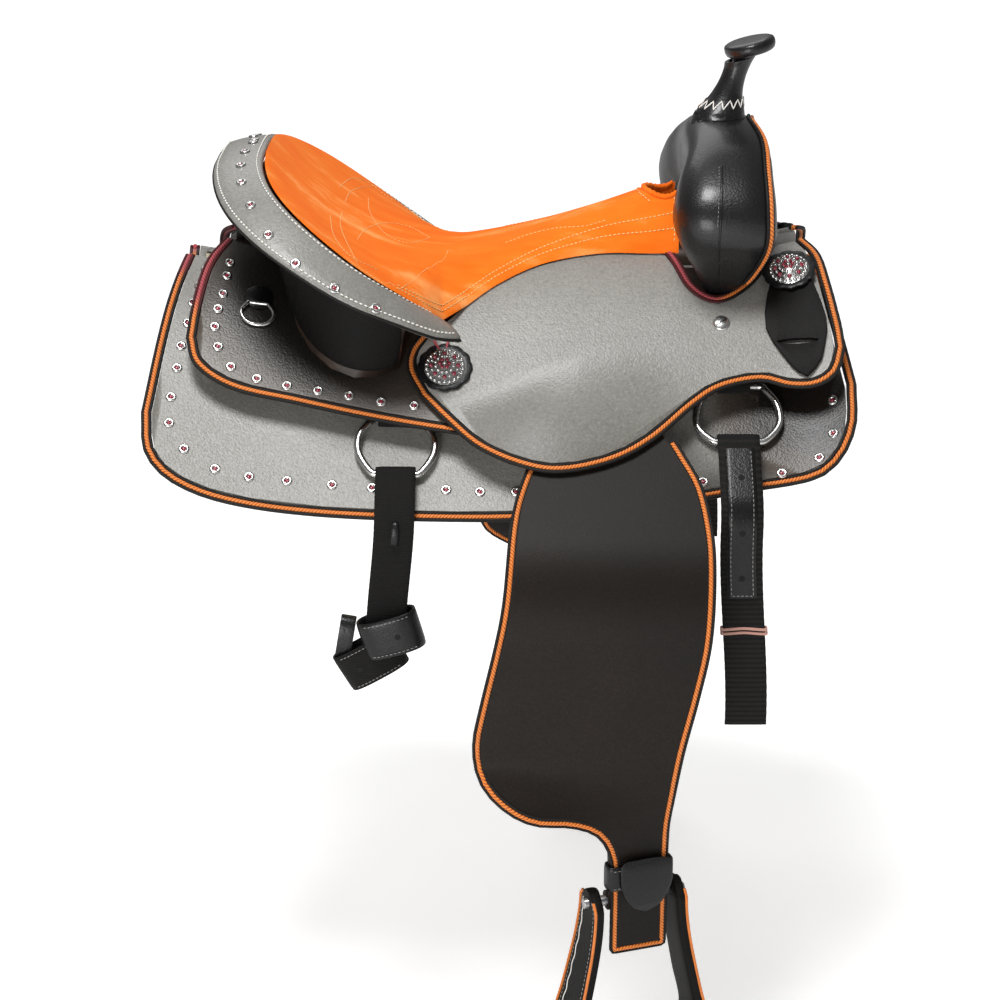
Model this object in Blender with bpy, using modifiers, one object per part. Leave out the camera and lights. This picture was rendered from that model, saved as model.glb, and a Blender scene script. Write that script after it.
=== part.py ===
"""A western barrel racing saddle at its real size.

Metres, +Z up, +X towards the horse's head, so -Y is the right (off) side.
The origin is on the centreline, at the height of the horse's spine behind the withers.
Leather is laid out flat in (x, s), where s runs down the horse's side from the spine,
and h is the height above the horse, so every layer is one height over the same form.
"""

from math import asin, cos, pi, radians, sin, sqrt

import bmesh
import bpy
from mathutils import Matrix, Vector

# The horse's back
SPINE_Z = 0.030
TOP_SLOPE = radians(15)
SIDE_SLOPE = radians(42)
CROWN_LENGTH = 0.100
REAR_RISE_START = -0.060
REAR_RISE = 0.022
REAR_RISE_RUN = 0.240
WITHERS_START = 0.245
WITHERS_RISE = 0.013
WITHERS_RUN = 0.057
WITHERS_POWER = 2.0

# Leather and what lies between its layers
GAP = 0.0006
SEAT_GAP = 0.0003
FLEECE = 0.010
SKIRT_LEATHER = 0.0045
JOCKEY_LEATHER = 0.0042
FENDER_LEATHER = 0.0040
LACING_LEATHER = 0.0025
BRAID_RADIUS = 0.0042
BRAID_HALF = 0.0031
BRAID_INSET = BRAID_RADIUS + 0.0006
BRAID_SIDES = 6

# The tree
BAR_INNER = 0.030
BAR_OUTER = 0.108
BAR_REAR_X = -0.262
BAR_FRONT_X = 0.262
BAR_WAIST = 0.012
BAR_POCKET_RADIUS = 0.0345
FORK_SIDES = 12
FORK_SPANS = 14
FORK_COVER_LEATHER = 0.003
FORK_CORE_SHRINK = 0.0050

# The rigging
DEE_WIRE = 0.0035
DEE_GAP = 0.0007
WEBBING = 0.0025
FACING = 0.0020
STRAP_CENTRE_X = 0.2150
STRAP_WIDTH = 0.038
STRAP_FACING_WIDTH = 0.025
FACING_SINK = 0.0006
STRAP_END_Z = -0.320

# The fender and stirrup
FENDER_PIVOT_X = 0.105
FENDER_PIVOT_S = 0.110
FENDER_PLANE = 0.205
FENDER_BEND = 0.120
FENDER_TAIL_Z = -0.515
STIRRUP_LEATHER_WIDTH = 0.054
STIRRUP_LEATHER = 0.0038
STIRRUP_TWIST = radians(18)
TWIST_START_Z = -0.325
TWIST_END_Z = -0.400
HANG_X = 0.126
BOLT_Z = -0.470
BOLT_RADIUS = 0.005
STIRRUP_MOUTH = 0.070
STIRRUP_WIDTH = 0.138
STIRRUP_HEIGHT = 0.168
STIRRUP_BAR = 0.010
STIRRUP_TOP_DEPTH = 0.034
STIRRUP_TREAD_DEPTH = 0.062

# Layer heights over the horse
SKIRT_H = FLEECE + 1.7 * GAP
SKIRT_TOP_H = SKIRT_H + SKIRT_LEATHER
RIG_H = SKIRT_TOP_H + GAP
DEE_H = SKIRT_TOP_H + GAP + WEBBING + DEE_GAP + DEE_WIRE
STRAP_TOP_H = DEE_H + DEE_WIRE + DEE_GAP + WEBBING + FACING
LEATHER_H = STRAP_TOP_H + GAP + STIRRUP_LEATHER / 2
FENDER_H = LEATHER_H + STIRRUP_LEATHER / 2 + GAP + 2 * SEAT_GAP
FENDER_MIDDLE_H = FENDER_H + FENDER_LEATHER / 2
SEAT_JOCKEY_H = FENDER_MIDDLE_H + 2 * BRAID_HALF + GAP - JOCKEY_LEATHER / 2
REAR_JOCKEY_H = SEAT_JOCKEY_H - 2 * BRAID_HALF - GAP
SEAT_EDGE_H = SEAT_JOCKEY_H + JOCKEY_LEATHER + 0.0032

CROWN_RADIUS = CROWN_LENGTH / (SIDE_SLOPE - TOP_SLOPE)


def material(name, colour, roughness, metallic=0.0):
    """A Principled material."""
    made = bpy.data.materials.new(name)
    made.use_nodes = True
    shader = made.node_tree.nodes["Principled BSDF"]
    shader.inputs["Base Color"].default_value = (*colour, 1.0)
    shader.inputs["Roughness"].default_value = roughness
    shader.inputs["Metallic"].default_value = metallic
    return made


def rocker(x):
    """How far the bars' line rises above the spine, towards the loin and the withers."""
    back = max(0.0, REAR_RISE_START - x) / REAR_RISE_RUN
    front = max(0.0, x - WITHERS_START) / WITHERS_RUN
    return REAR_RISE * back**2 + WITHERS_RISE * front**WITHERS_POWER


def drape(x, s, h):
    """The point of the right side at length x, s down the side and h off the horse."""
    slope = TOP_SLOPE + min(s, CROWN_LENGTH) / CROWN_RADIUS
    out = CROWN_RADIUS * (sin(slope) - sin(TOP_SLOPE))
    down = CROWN_RADIUS * (cos(TOP_SLOPE) - cos(slope))
    beyond = max(0.0, s - CROWN_LENGTH)
    out += beyond * cos(SIDE_SLOPE) + h * sin(slope)
    down += beyond * sin(SIDE_SLOPE) - h * cos(slope)
    return Vector((x, -out, SPINE_Z + rocker(x) - down))


def s_at(y, h):
    """The s whose point lies y out from the centreline at height h."""
    low = -0.05
    high = 0.5
    for _ in range(40):
        middle = (low + high) / 2
        if -drape(0.0, middle, h).y < y:
            low = middle
        else:
            high = middle
    return (low + high) / 2


def spline(controls, spans, by_length=True):
    """A smooth curve through the controls, in even steps by length or by the controls' own count."""
    points = [Vector(c) for c in controls]
    if len(points) == 2:
        return [points[0].lerp(points[1], i / spans) for i in range(spans + 1)]
    ends = [2 * points[0] - points[1], *points, 2 * points[-1] - points[-2]]

    def at(where):
        k = min(int(where), len(points) - 2)
        t = where - k
        a, b, c, d = ends[k:k + 4]
        return 0.5 * (2 * b + (c - a) * t + (2 * a - 5 * b + 4 * c - d) * t**2 + (3 * b - a - 3 * c + d) * t**3)

    if not by_length:
        return [at((len(points) - 1) * i / spans) for i in range(spans + 1)]
    fine = [at(i / 8) for i in range(8 * (len(points) - 1) + 1)]
    return even(fine, spans)


def even(points, spans):
    """The same path with its points at even lengths."""
    lengths = [0.0]
    for a, b in zip(points, points[1:]):
        lengths.append(lengths[-1] + (b - a).length)
    made = []
    k = 0
    for i in range(spans + 1):
        want = lengths[-1] * i / spans
        while k < len(points) - 2 and lengths[k + 1] < want:
            k += 1
        step = lengths[k + 1] - lengths[k]
        made.append(points[k].lerp(points[k + 1], (want - lengths[k]) / step if step else 0.0))
    return made


def offset_path(path, distance):
    """A flat path moved sideways with its corners mitred, away from the panel for a positive distance."""
    made = []
    last = len(path) - 1
    for i, point in enumerate(path):
        normals = []
        for k in (i - 1, i):
            if 0 <= k < last:
                along = (path[k + 1] - path[k]).normalized()
                normals.append(Vector((-along.y, along.x)))
        middle = sum(normals, Vector((0.0, 0.0))).normalized()
        made.append(point + middle * (distance / middle.dot(normals[0])))
    return made


def braided_edges(runs, counts):
    """The line of a panel's braid, and the panel's own edges drawn in from it."""
    path = []
    for run, spans in zip(runs, counts):
        points = spline(run, spans, by_length=False)
        path.extend(points if not path else points[1:])
    cut = offset_path(path, -BRAID_INSET)
    edges = []
    start = 0
    for spans in counts:
        edges.append(cut[start:start + spans + 1])
        start += spans
    return path, edges


def add(name, mesh, look, smooth_angle=40):
    """Puts a mesh in the saddle's collection as a named piece."""
    piece = bpy.data.objects.new(name, mesh)
    saddle.objects.link(piece)
    mesh.materials.clear()
    mesh.materials.append(look)
    mesh.shade_smooth()
    mesh.set_sharp_from_angle(angle=radians(smooth_angle))
    return piece


def patch(name, top, bottom, left, right, place, thickness, look):
    """A sheet of leather inside four edges laid out flat, put in its place and given its thickness."""
    columns = len(top) - 1
    rows = len(left) - 1
    bm = bmesh.new()
    bmesh.ops.create_grid(bm, x_segments=columns, y_segments=rows, size=0.5)
    for vert in bm.verts:
        i = round((vert.co.x + 0.5) * columns)
        j = round((vert.co.y + 0.5) * rows)
        u = i / columns
        v = j / rows
        corners = (top[0] * (1 - u) + top[-1] * u) * (1 - v)
        corners += (bottom[0] * (1 - u) + bottom[-1] * u) * v
        flat = top[i] * (1 - v) + bottom[i] * v + left[j] * (1 - u) + right[j] * u - corners
        vert.co = place(flat.x, flat.y)
    bm.normal_update()
    lifted = sum((face.normal for face in bm.faces), Vector())
    if lifted.dot(Vector((0.0, -sin(SIDE_SLOPE), cos(SIDE_SLOPE)))) < 0:
        bmesh.ops.reverse_faces(bm, faces=bm.faces)
    mesh = bpy.data.meshes.new(name)
    bm.to_mesh(mesh)
    bm.free()
    piece = add(name, mesh, look)
    skin = piece.modifiers.new("thickness", "SOLIDIFY")
    skin.thickness = thickness
    skin.offset = 1.0
    skin.use_even_offset = True
    return piece


def loft(name, rings, look, closed=False, smooth_angle=40):
    """A solid through closed rings of as many points each."""
    bm = bmesh.new()
    loops = [[bm.verts.new(point) for point in ring] for ring in rings]
    pairs = list(zip(loops, loops[1:] + loops[:1])) if closed else list(zip(loops, loops[1:]))
    for a, b in pairs:
        for k in range(len(a)):
            n = (k + 1) % len(a)
            bm.faces.new((a[k], a[n], b[n], b[k]))
    if not closed:
        bm.faces.new(loops[0])
        bm.faces.new(reversed(loops[-1]))
    bmesh.ops.recalc_face_normals(bm, faces=bm.faces)
    if bm.calc_volume(signed=True) < 0:
        bmesh.ops.reverse_faces(bm, faces=bm.faces)
    mesh = bpy.data.meshes.new(name)
    bm.to_mesh(mesh)
    bm.free()
    return add(name, mesh, look, smooth_angle)


def tube(name, points, radius, look, cyclic=False):
    """A round wire, cord or braid along the points."""
    curve = bpy.data.curves.new(name, "CURVE")
    curve.dimensions = "3D"
    curve.bevel_depth = radius
    curve.bevel_resolution = 1
    curve.use_fill_caps = True
    line = curve.splines.new("POLY")
    line.points.add(len(points) - 1)
    for target, point in zip(line.points, points):
        target.co = (*point, 1.0)
    line.use_cyclic_u = cyclic
    piece = bpy.data.objects.new(name, curve)
    saddle.objects.link(piece)
    curve.materials.append(look)
    return piece


def band(name, path, across, thickness, place, look):
    """A strap along a path in its side view (r, h), as wide as across says at each r."""
    rings = []
    last = len(path) - 1
    for i, point in enumerate(path):
        along = (path[min(i + 1, last)] - path[max(i - 1, 0)]).normalized()
        half = Vector((-along.y, along.x)) * (thickness / 2)
        centre, width = across(point.x)
        ring = []
        for side, face in ((-1, -1), (1, -1), (1, 1), (-1, 1)):
            r, h = point + half * face
            ring.append(place(centre + side * width / 2, r, h))
        rings.append(ring)
    return loft(name, rings, look)


def fold(centre, radius, start, end, count):
    """Points of a strap's middle as it folds round a bar, from one angle to another."""
    middle = Vector(centre)
    return [
        middle + radius * Vector((cos(start + (end - start) * i / count), sin(start + (end - start) * i / count)))
        for i in range(count + 1)
    ]


def boolean(piece, cutter, operation="DIFFERENCE"):
    """Cuts or joins with an object that goes to the cutters."""
    for owner in list(cutter.users_collection):
        owner.objects.unlink(cutter)
    cutters.objects.link(cutter)
    cutter.hide_render = True
    cutter.display_type = "WIRE"
    cut = piece.modifiers.new(cutter.name, "BOOLEAN")
    cut.operation = operation
    cut.solver = "EXACT"
    cut.object = cutter


def origin_at(piece, point):
    """Moves an object's origin to a point on its joint's axis, with its shape left where it is."""
    if piece.type == "MESH":
        piece.data.transform(Matrix.Translation(-point))
    else:
        for line in piece.data.splines:
            for target in line.points:
                target.co = (*(Vector(target.co[:3]) - point), 1.0)
    piece.location = point


def left_twin(piece):
    """The same piece on the left side, mirrored in the centre plane."""
    twin = piece.copy()
    twin.data = piece.data.copy()
    twin.name = piece.name.replace("_right", "_left")
    twin.data.name = twin.name
    flip = Matrix.Diagonal((1.0, -1.0, 1.0, 1.0))
    if twin.type == "MESH":
        twin.data.transform(flip)
        twin.data.flip_normals()
    else:
        for line in twin.data.splines:
            for target in line.points:
                target.co.y = -target.co.y
    twin.location.y = -twin.location.y
    twin.parent = None
    for modifier in twin.modifiers:
        if modifier.type == "BOOLEAN":
            tool = modifier.object.copy()
            tool.data = modifier.object.data.copy()
            tool.data.transform(flip)
            tool.data.flip_normals()
            cutters.objects.link(tool)
            modifier.object = tool
    saddle.objects.link(twin)
    return twin


# The centre of the saddle

CANTLE_RIDGE = ((-0.216, 0.000, 0.166), (-0.215, 0.072, 0.159), (-0.200, 0.126, 0.144), (-0.168, 0.160, 0.119),
                (-0.122, 0.172, 0.084), (-0.076, 0.156, 0.050), (-0.050, 0.129, 0.025))
CANTLE_SPANS = 48
SEAT_FRONT_X = 0.168
SEAT_COVER = 0.003
SEAT_FOAM = 0.010
SEAT_FOAM_EDGE = 0.003
GROUND_SEAT = 0.0035
SEAT_LOW_X = -0.040
SEAT_LOW_Z = 0.071
HAND_HOLE_RADIUS = 0.023
SEAT_EDGE = ((0.168, 0.026), (0.141, 0.026), (0.094, 0.026), (0.042, 0.038), (0.0, 0.060), (-0.030, 0.082))


def ridge_points():
    """The cantle's ridge from its right tip over the middle to its left tip."""
    left = [Vector(point) for point in CANTLE_RIDGE]
    right = [Vector((x, -y, z)) for x, y, z in reversed(CANTLE_RIDGE[1:])]
    return spline([*right, *left], CANTLE_SPANS)


def ridge(t):
    """A place on the ridge, from its right tip at -1 over the middle to its left tip at 1."""
    where = (t + 1) / 2 * CANTLE_SPANS
    k = min(int(where), CANTLE_SPANS - 1)
    return RIDGE[k].lerp(RIDGE[k + 1], where - k)


RIDGE = ridge_points()
RIDGE_TOP = RIDGE[CANTLE_SPANS // 2]


def ridge_outward(t):
    """The level direction that points out of the seat at a place on the ridge."""
    along = ridge(min(t + 0.01, 1.0)) - ridge(max(t - 0.01, -1.0))
    return Vector((along.y, -along.x, 0.0)).normalized() * -1.0


def seat_border():
    """The seat's right edge from its front corner, and up the ridge to the back centre."""
    lower = [drape(x, s, SEAT_EDGE_H) for x, s in spline(SEAT_EDGE, 10)]
    upper = [ridge(-1.0 + 0.97 * (k / 16)) for k in range(17)]
    return even([*lower, *upper], SEAT_STATIONS)


SEAT_STATIONS = 18
SEAT_COLUMNS = 12
GROUND_SEAT_ROWS = 12


def seat_centre_z(x):
    """The height of the seat along the middle, from the rise at the fork to the top of the cantle."""
    if x > SEAT_LOW_X:
        return SEAT_LOW_Z + 0.062 * ((x - SEAT_LOW_X) / (SEAT_FRONT_X - SEAT_LOW_X)) ** 1.3
    return SEAT_LOW_Z + (RIDGE_TOP.z - 0.001 - SEAT_LOW_Z) * ((SEAT_LOW_X - x) / (SEAT_LOW_X - RIDGE_TOP.x)) ** 2.3


def seat_grid():
    """The seat's upper surface, one row across for each station."""
    rows = []
    for edge in seat_border():
        middle = seat_centre_z(edge.x)
        row = []
        for k in range(SEAT_COLUMNS + 1):
            t = sin(pi / 2 * (2 * k / SEAT_COLUMNS - 1))
            crown = 1 - abs(t) ** (2.6 if middle > edge.z else 2.0)
            row.append(Vector((edge.x, -edge.y * t, edge.z + (middle - edge.z) * crown)))
        rows.append(row)
    return rows


def sunk(rows, depth):
    """A surface moved inwards by depth(i, t), with its own normals."""
    made = []
    last = len(rows) - 1
    for i, row in enumerate(rows):
        out = []
        for k, point in enumerate(row):
            along = rows[min(i + 1, last)][k] - rows[max(i - 1, 0)][k]
            across = row[min(k + 1, len(row) - 1)] - row[max(k - 1, 0)]
            normal = along.cross(across).normalized()
            if normal.z < 0:
                normal = -normal
            out.append(point - normal * depth(i / last, 2 * k / (len(row) - 1) - 1))
        made.append(out)
    return made


def skin_of(name, rows, thickness, look):
    """A sheet over a grid of points, thickened inwards."""
    bm = bmesh.new()
    verts = [[bm.verts.new(point) for point in row] for row in rows]
    for a, b in zip(verts, verts[1:]):
        for k in range(len(a) - 1):
            bm.faces.new((a[k], a[k + 1], b[k + 1], b[k]))
    bm.normal_update()
    if sum((face.normal.z for face in bm.faces)) < 0:
        bmesh.ops.reverse_faces(bm, faces=bm.faces)
    mesh = bpy.data.meshes.new(name)
    bm.to_mesh(mesh)
    bm.free()
    piece = add(name, mesh, look)
    skin = piece.modifiers.new("thickness", "SOLIDIFY")
    skin.thickness = thickness
    skin.offset = -1.0
    return piece


def seat():
    """The suede cover, the foam below it and the ground seat that bridges the bars."""
    rows = seat_grid()
    foam_depth = lambda i, t: SEAT_FOAM_EDGE + (SEAT_FOAM - SEAT_FOAM_EDGE) * (1 - t * t) * min(1.0, 3 * (1 - i))
    cover = skin_of("seat_cover", rows, SEAT_COVER, SUEDE)
    top = sunk(rows, lambda i, t: SEAT_COVER + GAP)
    bottom = sunk(rows, lambda i, t: SEAT_COVER + GAP + foam_depth(i, t))
    under = sunk(rows, lambda i, t: SEAT_COVER + 4.5 * GAP + foam_depth(i, t))
    rings = [[*a[2:-2], *reversed(b[2:-2])] for a, b in zip(top[1:-3], bottom[1:-3])]
    foam = loft("seat_foam", rings, FOAM)
    bridge = [row[3:-3] for row in under[1:GROUND_SEAT_ROWS]]
    ground = skin_of("ground_seat", bridge, GROUND_SEAT, TREE_LEATHER)
    bpy.ops.mesh.primitive_cylinder_add(
        vertices=20, radius=HAND_HOLE_RADIUS, depth=0.12, location=(SEAT_FRONT_X - 0.008, 0.0, 0.120)
    )
    hole = bpy.context.object
    hole.name = "hand_hole_cutter"
    for piece in (cover, foam, ground):
        boolean(piece, hole)


def seat_top(x, y):
    """The height of the seat's surface at a place inside its border."""
    border = seat_border()
    for a, b in zip(border, border[1:]):
        if b.x <= x <= a.x:
            share = (a.x - x) / (a.x - b.x)
            edge = a.lerp(b, share)
            t = min(1.0, abs(y / edge.y))
            middle = seat_centre_z(x)
            return edge.z + (middle - edge.z) * (1 - t ** (2.6 if middle > edge.z else 2.0))
    return RIDGE_TOP.z


def smooth(x, low, high):
    """0 below low, 1 above high and a smooth step between."""
    share = min(1.0, max(0.0, (x - low) / (high - low)))
    return share * share * (3 - 2 * share)


def bar_top(x):
    """The height of a bar's upper face: thin at its waist, thicker under the cantle and the fork."""
    waist = RIG_H + BAR_WAIST
    rear = (REAR_JOCKEY_H - GAP - SEAT_GAP - waist) * (1 - smooth(x, -0.150, -0.100))
    front = (SEAT_JOCKEY_H - 2 * GAP - SEAT_GAP - waist) * smooth(x, 0.020, 0.070)
    return waist + rear + front


def bar():
    """The right bar of the tree: a long board rounded at its ends, with a pocket for the stirrup leather."""
    rings = []
    stations = 13
    for k in range(stations + 1):
        x = BAR_REAR_X + (BAR_FRONT_X - BAR_REAR_X) * k / stations
        end = min(x - BAR_REAR_X, BAR_FRONT_X - x) / 0.06
        close = sqrt(max(0.0, 1 - max(0.0, 1 - end) ** 2))
        middle = (BAR_INNER + BAR_OUTER) / 2
        half = (BAR_OUTER - BAR_INNER) / 2 * (0.45 + 0.55 * close)
        top = bar_top(x)
        ring = []
        for i in range(5):
            ring.append(drape(x, middle - half + 2 * half * i / 4, RIG_H + SEAT_GAP))
        for share, drop in ((1.0, 0.45), (0.9, 0.08), (0.45, 0.0), (0.0, 0.0), (-0.45, 0.0), (-0.9, 0.08), (-1.0, 0.45)):
            ring.append(drape(x, middle + half * share, top - drop * (top - RIG_H)))
        rings.append(ring)
    board = loft("tree_bar_right", rings, WOOD)
    floor = LEATHER_H - STIRRUP_LEATHER / 2 - GAP
    depth = 0.030
    pocket = cylinder("bar_pocket_cutter", BAR_POCKET_RADIUS, depth, WOOD, 24)
    slope = Matrix.Rotation(SIDE_SLOPE, 4, "X")
    pocket.data.transform(Matrix.Translation(drape(FENDER_PIVOT_X, FENDER_PIVOT_S, floor + depth / 2)) @ slope)
    boolean(board, pocket)
    return board


# Half of the fork from the foot to the top: outer and inner places (y, z), and its ends in x
FORK_STATIONS = (
    (0.0870, 0.0375, 0.0640, 0.0510, 0.190, 0.218),
    (0.1080, 0.0630, 0.0660, 0.0640, 0.179, 0.238),
    (0.1370, 0.0960, 0.0660, 0.0800, 0.166, 0.250),
    (0.1380, 0.1300, 0.0560, 0.0980, 0.158, 0.251),
    (0.1100, 0.1600, 0.0400, 0.1100, 0.162, 0.250),
    (0.0630, 0.1820, 0.0200, 0.1170, 0.171, 0.250),
    (0.0000, 0.1910, 0.0000, 0.1190, 0.172, 0.244),
)


def fork_stations():
    """Places along the fork from the right foot to the left foot, smoothly joined."""
    half = [Vector(station[:3]) for station in FORK_STATIONS]
    rest = [Vector(station[3:]) for station in FORK_STATIONS]
    first = [Vector((-a.x, a.y, -a.z)) for a in half]
    second = [Vector((a.x, a.y, a.z)) for a in reversed(half[:-1])]
    near = spline_pairs([*first, *second], [*rest, *reversed(rest[:-1])], FORK_SPANS)
    return near


def spline_pairs(firsts, seconds, spans):
    """Two paths sampled together at even steps of their shared index."""
    made = []
    total = len(firsts) - 1
    for i in range(spans + 1):
        where = total * i / spans
        k = min(int(where), total - 1)
        t = where - k
        values = []
        for path in (firsts, seconds):
            a = path[k - 1] if k else 2 * path[0] - path[1]
            b = path[k]
            c = path[k + 1]
            d = path[k + 2] if k + 2 <= total else 2 * path[-1] - path[-2]
            values.append(
                0.5 * (2 * b + (c - a) * t + (2 * a - 5 * b + 4 * c - d) * t**2
                       + (3 * b - a - 3 * c + d) * t**3)
            )
        made.append(values)
    return made


def fork_section(first, second, shrink, angles):
    """Points of the fork's section: a rounded block between its outer and inner faces."""
    outer = Vector((0.0, first.x, first.y))
    inner = Vector((0.0, first.z, second.x))
    centre = (outer + inner) / 2
    radial = (outer - inner).normalized()
    a = (outer - inner).length / 2 - shrink
    middle_x = (second.y + second.z) / 2
    b = (second.z - second.y) / 2 - shrink
    points = []
    for angle in angles:
        c = cos(angle)
        s = sin(angle)
        scale = (abs(c) ** 3 + abs(s) ** 3) ** (-1 / 3)
        points.append(centre + radial * (a * c * scale) + Vector((middle_x + b * s * scale, 0.0, 0.0)))
    return points


def fork():
    """The fork's wood, the leather over it and the braid along its front rim."""
    stations = fork_stations()
    all_round = [2 * pi * k / FORK_SIDES for k in range(FORK_SIDES)]
    core = [fork_section(a, b, FORK_CORE_SHRINK, all_round) for a, b in stations]
    wood = loft("tree_fork", core, WOOD)
    open_side = [2 * pi * k / FORK_SIDES for k in range(-5, 6)]
    rows = [fork_section(a, b, 0.0, open_side) for a, b in stations]
    bm = bmesh.new()
    verts = [[bm.verts.new(point) for point in row] for row in rows]
    for a, b in zip(verts, verts[1:]):
        for k in range(len(a) - 1):
            bm.faces.new((a[k], b[k], b[k + 1], a[k + 1]))
    bm.normal_update()
    top_face = max(bm.faces, key=lambda face: face.calc_center_median().z)
    if top_face.normal.z < 0:
        bmesh.ops.reverse_faces(bm, faces=bm.faces)
    mesh = bpy.data.meshes.new("fork_cover")
    bm.to_mesh(mesh)
    bm.free()
    cover = add("fork_cover", mesh, BLACK_LEATHER)
    skin = cover.modifiers.new("thickness", "SOLIDIFY")
    skin.thickness = FORK_COVER_LEATHER
    skin.offset = -1.0
    rim = []
    for first, second in stations:
        outer = Vector((0.0, first.x, first.y))
        inner = Vector((0.0, first.z, second.x))
        point = outer.lerp(inner, 0.16)
        point.x = second.z + BRAID_RADIUS - 0.0002
        rim.append(point)
    tube("fork_binding", even(rim[1:-1], 20), BRAID_RADIUS, BRAID)
    return wood, cover


HORN_BASE = Vector((0.2045, 0.0, 0.1905))
HORN_TOP = Vector((0.2240, 0.0, 0.2430))
HORN_FLANGE_RADIUS = 0.0200
HORN_FLANGE = 0.003
HORN_STEM = 0.0075
HORN_WRAP = 0.0035
CAP_TILT = radians(14)
CAP_LENGTH = 0.048
CAP_WIDTH = 0.056
CAP_THICKNESS = 0.0125


def horn(fork_cover):
    """The steel horn on the fork, the leather round its neck and the covered cap."""
    axis = (HORN_TOP - HORN_BASE).normalized()
    profile = ((0.0, 0.0260), (0.12, 0.0225), (0.35, 0.0160), (0.62, 0.0128), (0.85, 0.0130), (1.0, 0.0150))
    count = 12

    def ring(share, radius, lean):
        centre = HORN_BASE.lerp(HORN_TOP, share)
        forward = Vector((cos(lean), 0.0, sin(lean)))
        return [
            centre + radius * (cos(2 * pi * k / count) * forward + sin(2 * pi * k / count) * Vector((0, 1, 0)))
            for k in range(count)
        ]

    bm = bmesh.new()
    loops = [[bm.verts.new(p) for p in ring(share, radius, CAP_TILT * share)] for share, radius in profile]
    for a, b in zip(loops, loops[1:]):
        for k in range(count):
            n = (k + 1) % count
            bm.faces.new((a[k], a[n], b[n], b[k]))
    bmesh.ops.recalc_face_normals(bm, faces=bm.faces)
    mesh = bpy.data.meshes.new("horn_wrap")
    bm.to_mesh(mesh)
    bm.free()
    wrap = add("horn_wrap", mesh, BLACK_LEATHER)
    skin = wrap.modifiers.new("thickness", "SOLIDIFY")
    skin.thickness = HORN_WRAP
    skin.offset = -1.0
    stem = [ring(share, radius, CAP_TILT * max(share, 0.0)) for share, radius in (
        (-0.065, HORN_FLANGE_RADIUS), (-0.02, HORN_FLANGE_RADIUS), (-0.015, HORN_STEM + 0.004),
        (0.25, HORN_STEM), (1.02, HORN_STEM))]
    loft("horn_post", stem, STEEL)
    centre = HORN_TOP + Vector((0.0085, 0.0, 0.0112))
    rings = []
    for lift, scale in ((-0.5, 0.80), (-0.36, 0.95), (-0.1, 1.0), (0.25, 1.0), (0.42, 0.93), (0.5, 0.78)):
        turned = []
        for k in range(20):
            a = 2 * pi * k / 20
            flat = Vector((CAP_LENGTH / 2 * scale * cos(a), CAP_WIDTH / 2 * scale * sin(a), CAP_THICKNESS * lift))
            turned.append(centre + Matrix.Rotation(-CAP_TILT, 3, "Y") @ flat)
        rings.append(turned)
    loft("horn_cap", rings, BLACK_LEATHER)
    bpy.ops.mesh.primitive_cylinder_add(
        vertices=20, radius=HORN_FLANGE_RADIUS + 0.001, depth=0.03, location=HORN_BASE + Vector((-0.001, 0, -0.004))
    )
    hole = bpy.context.object
    hole.name = "horn_hole_cutter"
    boolean(fork_cover, hole)
    return axis


ROLL_WIDTH = 0.046
ROLL_HALF_THICKNESS = 0.0065
CANTLE_BACK = 0.0025
WALL_REACH = 0.84


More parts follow.
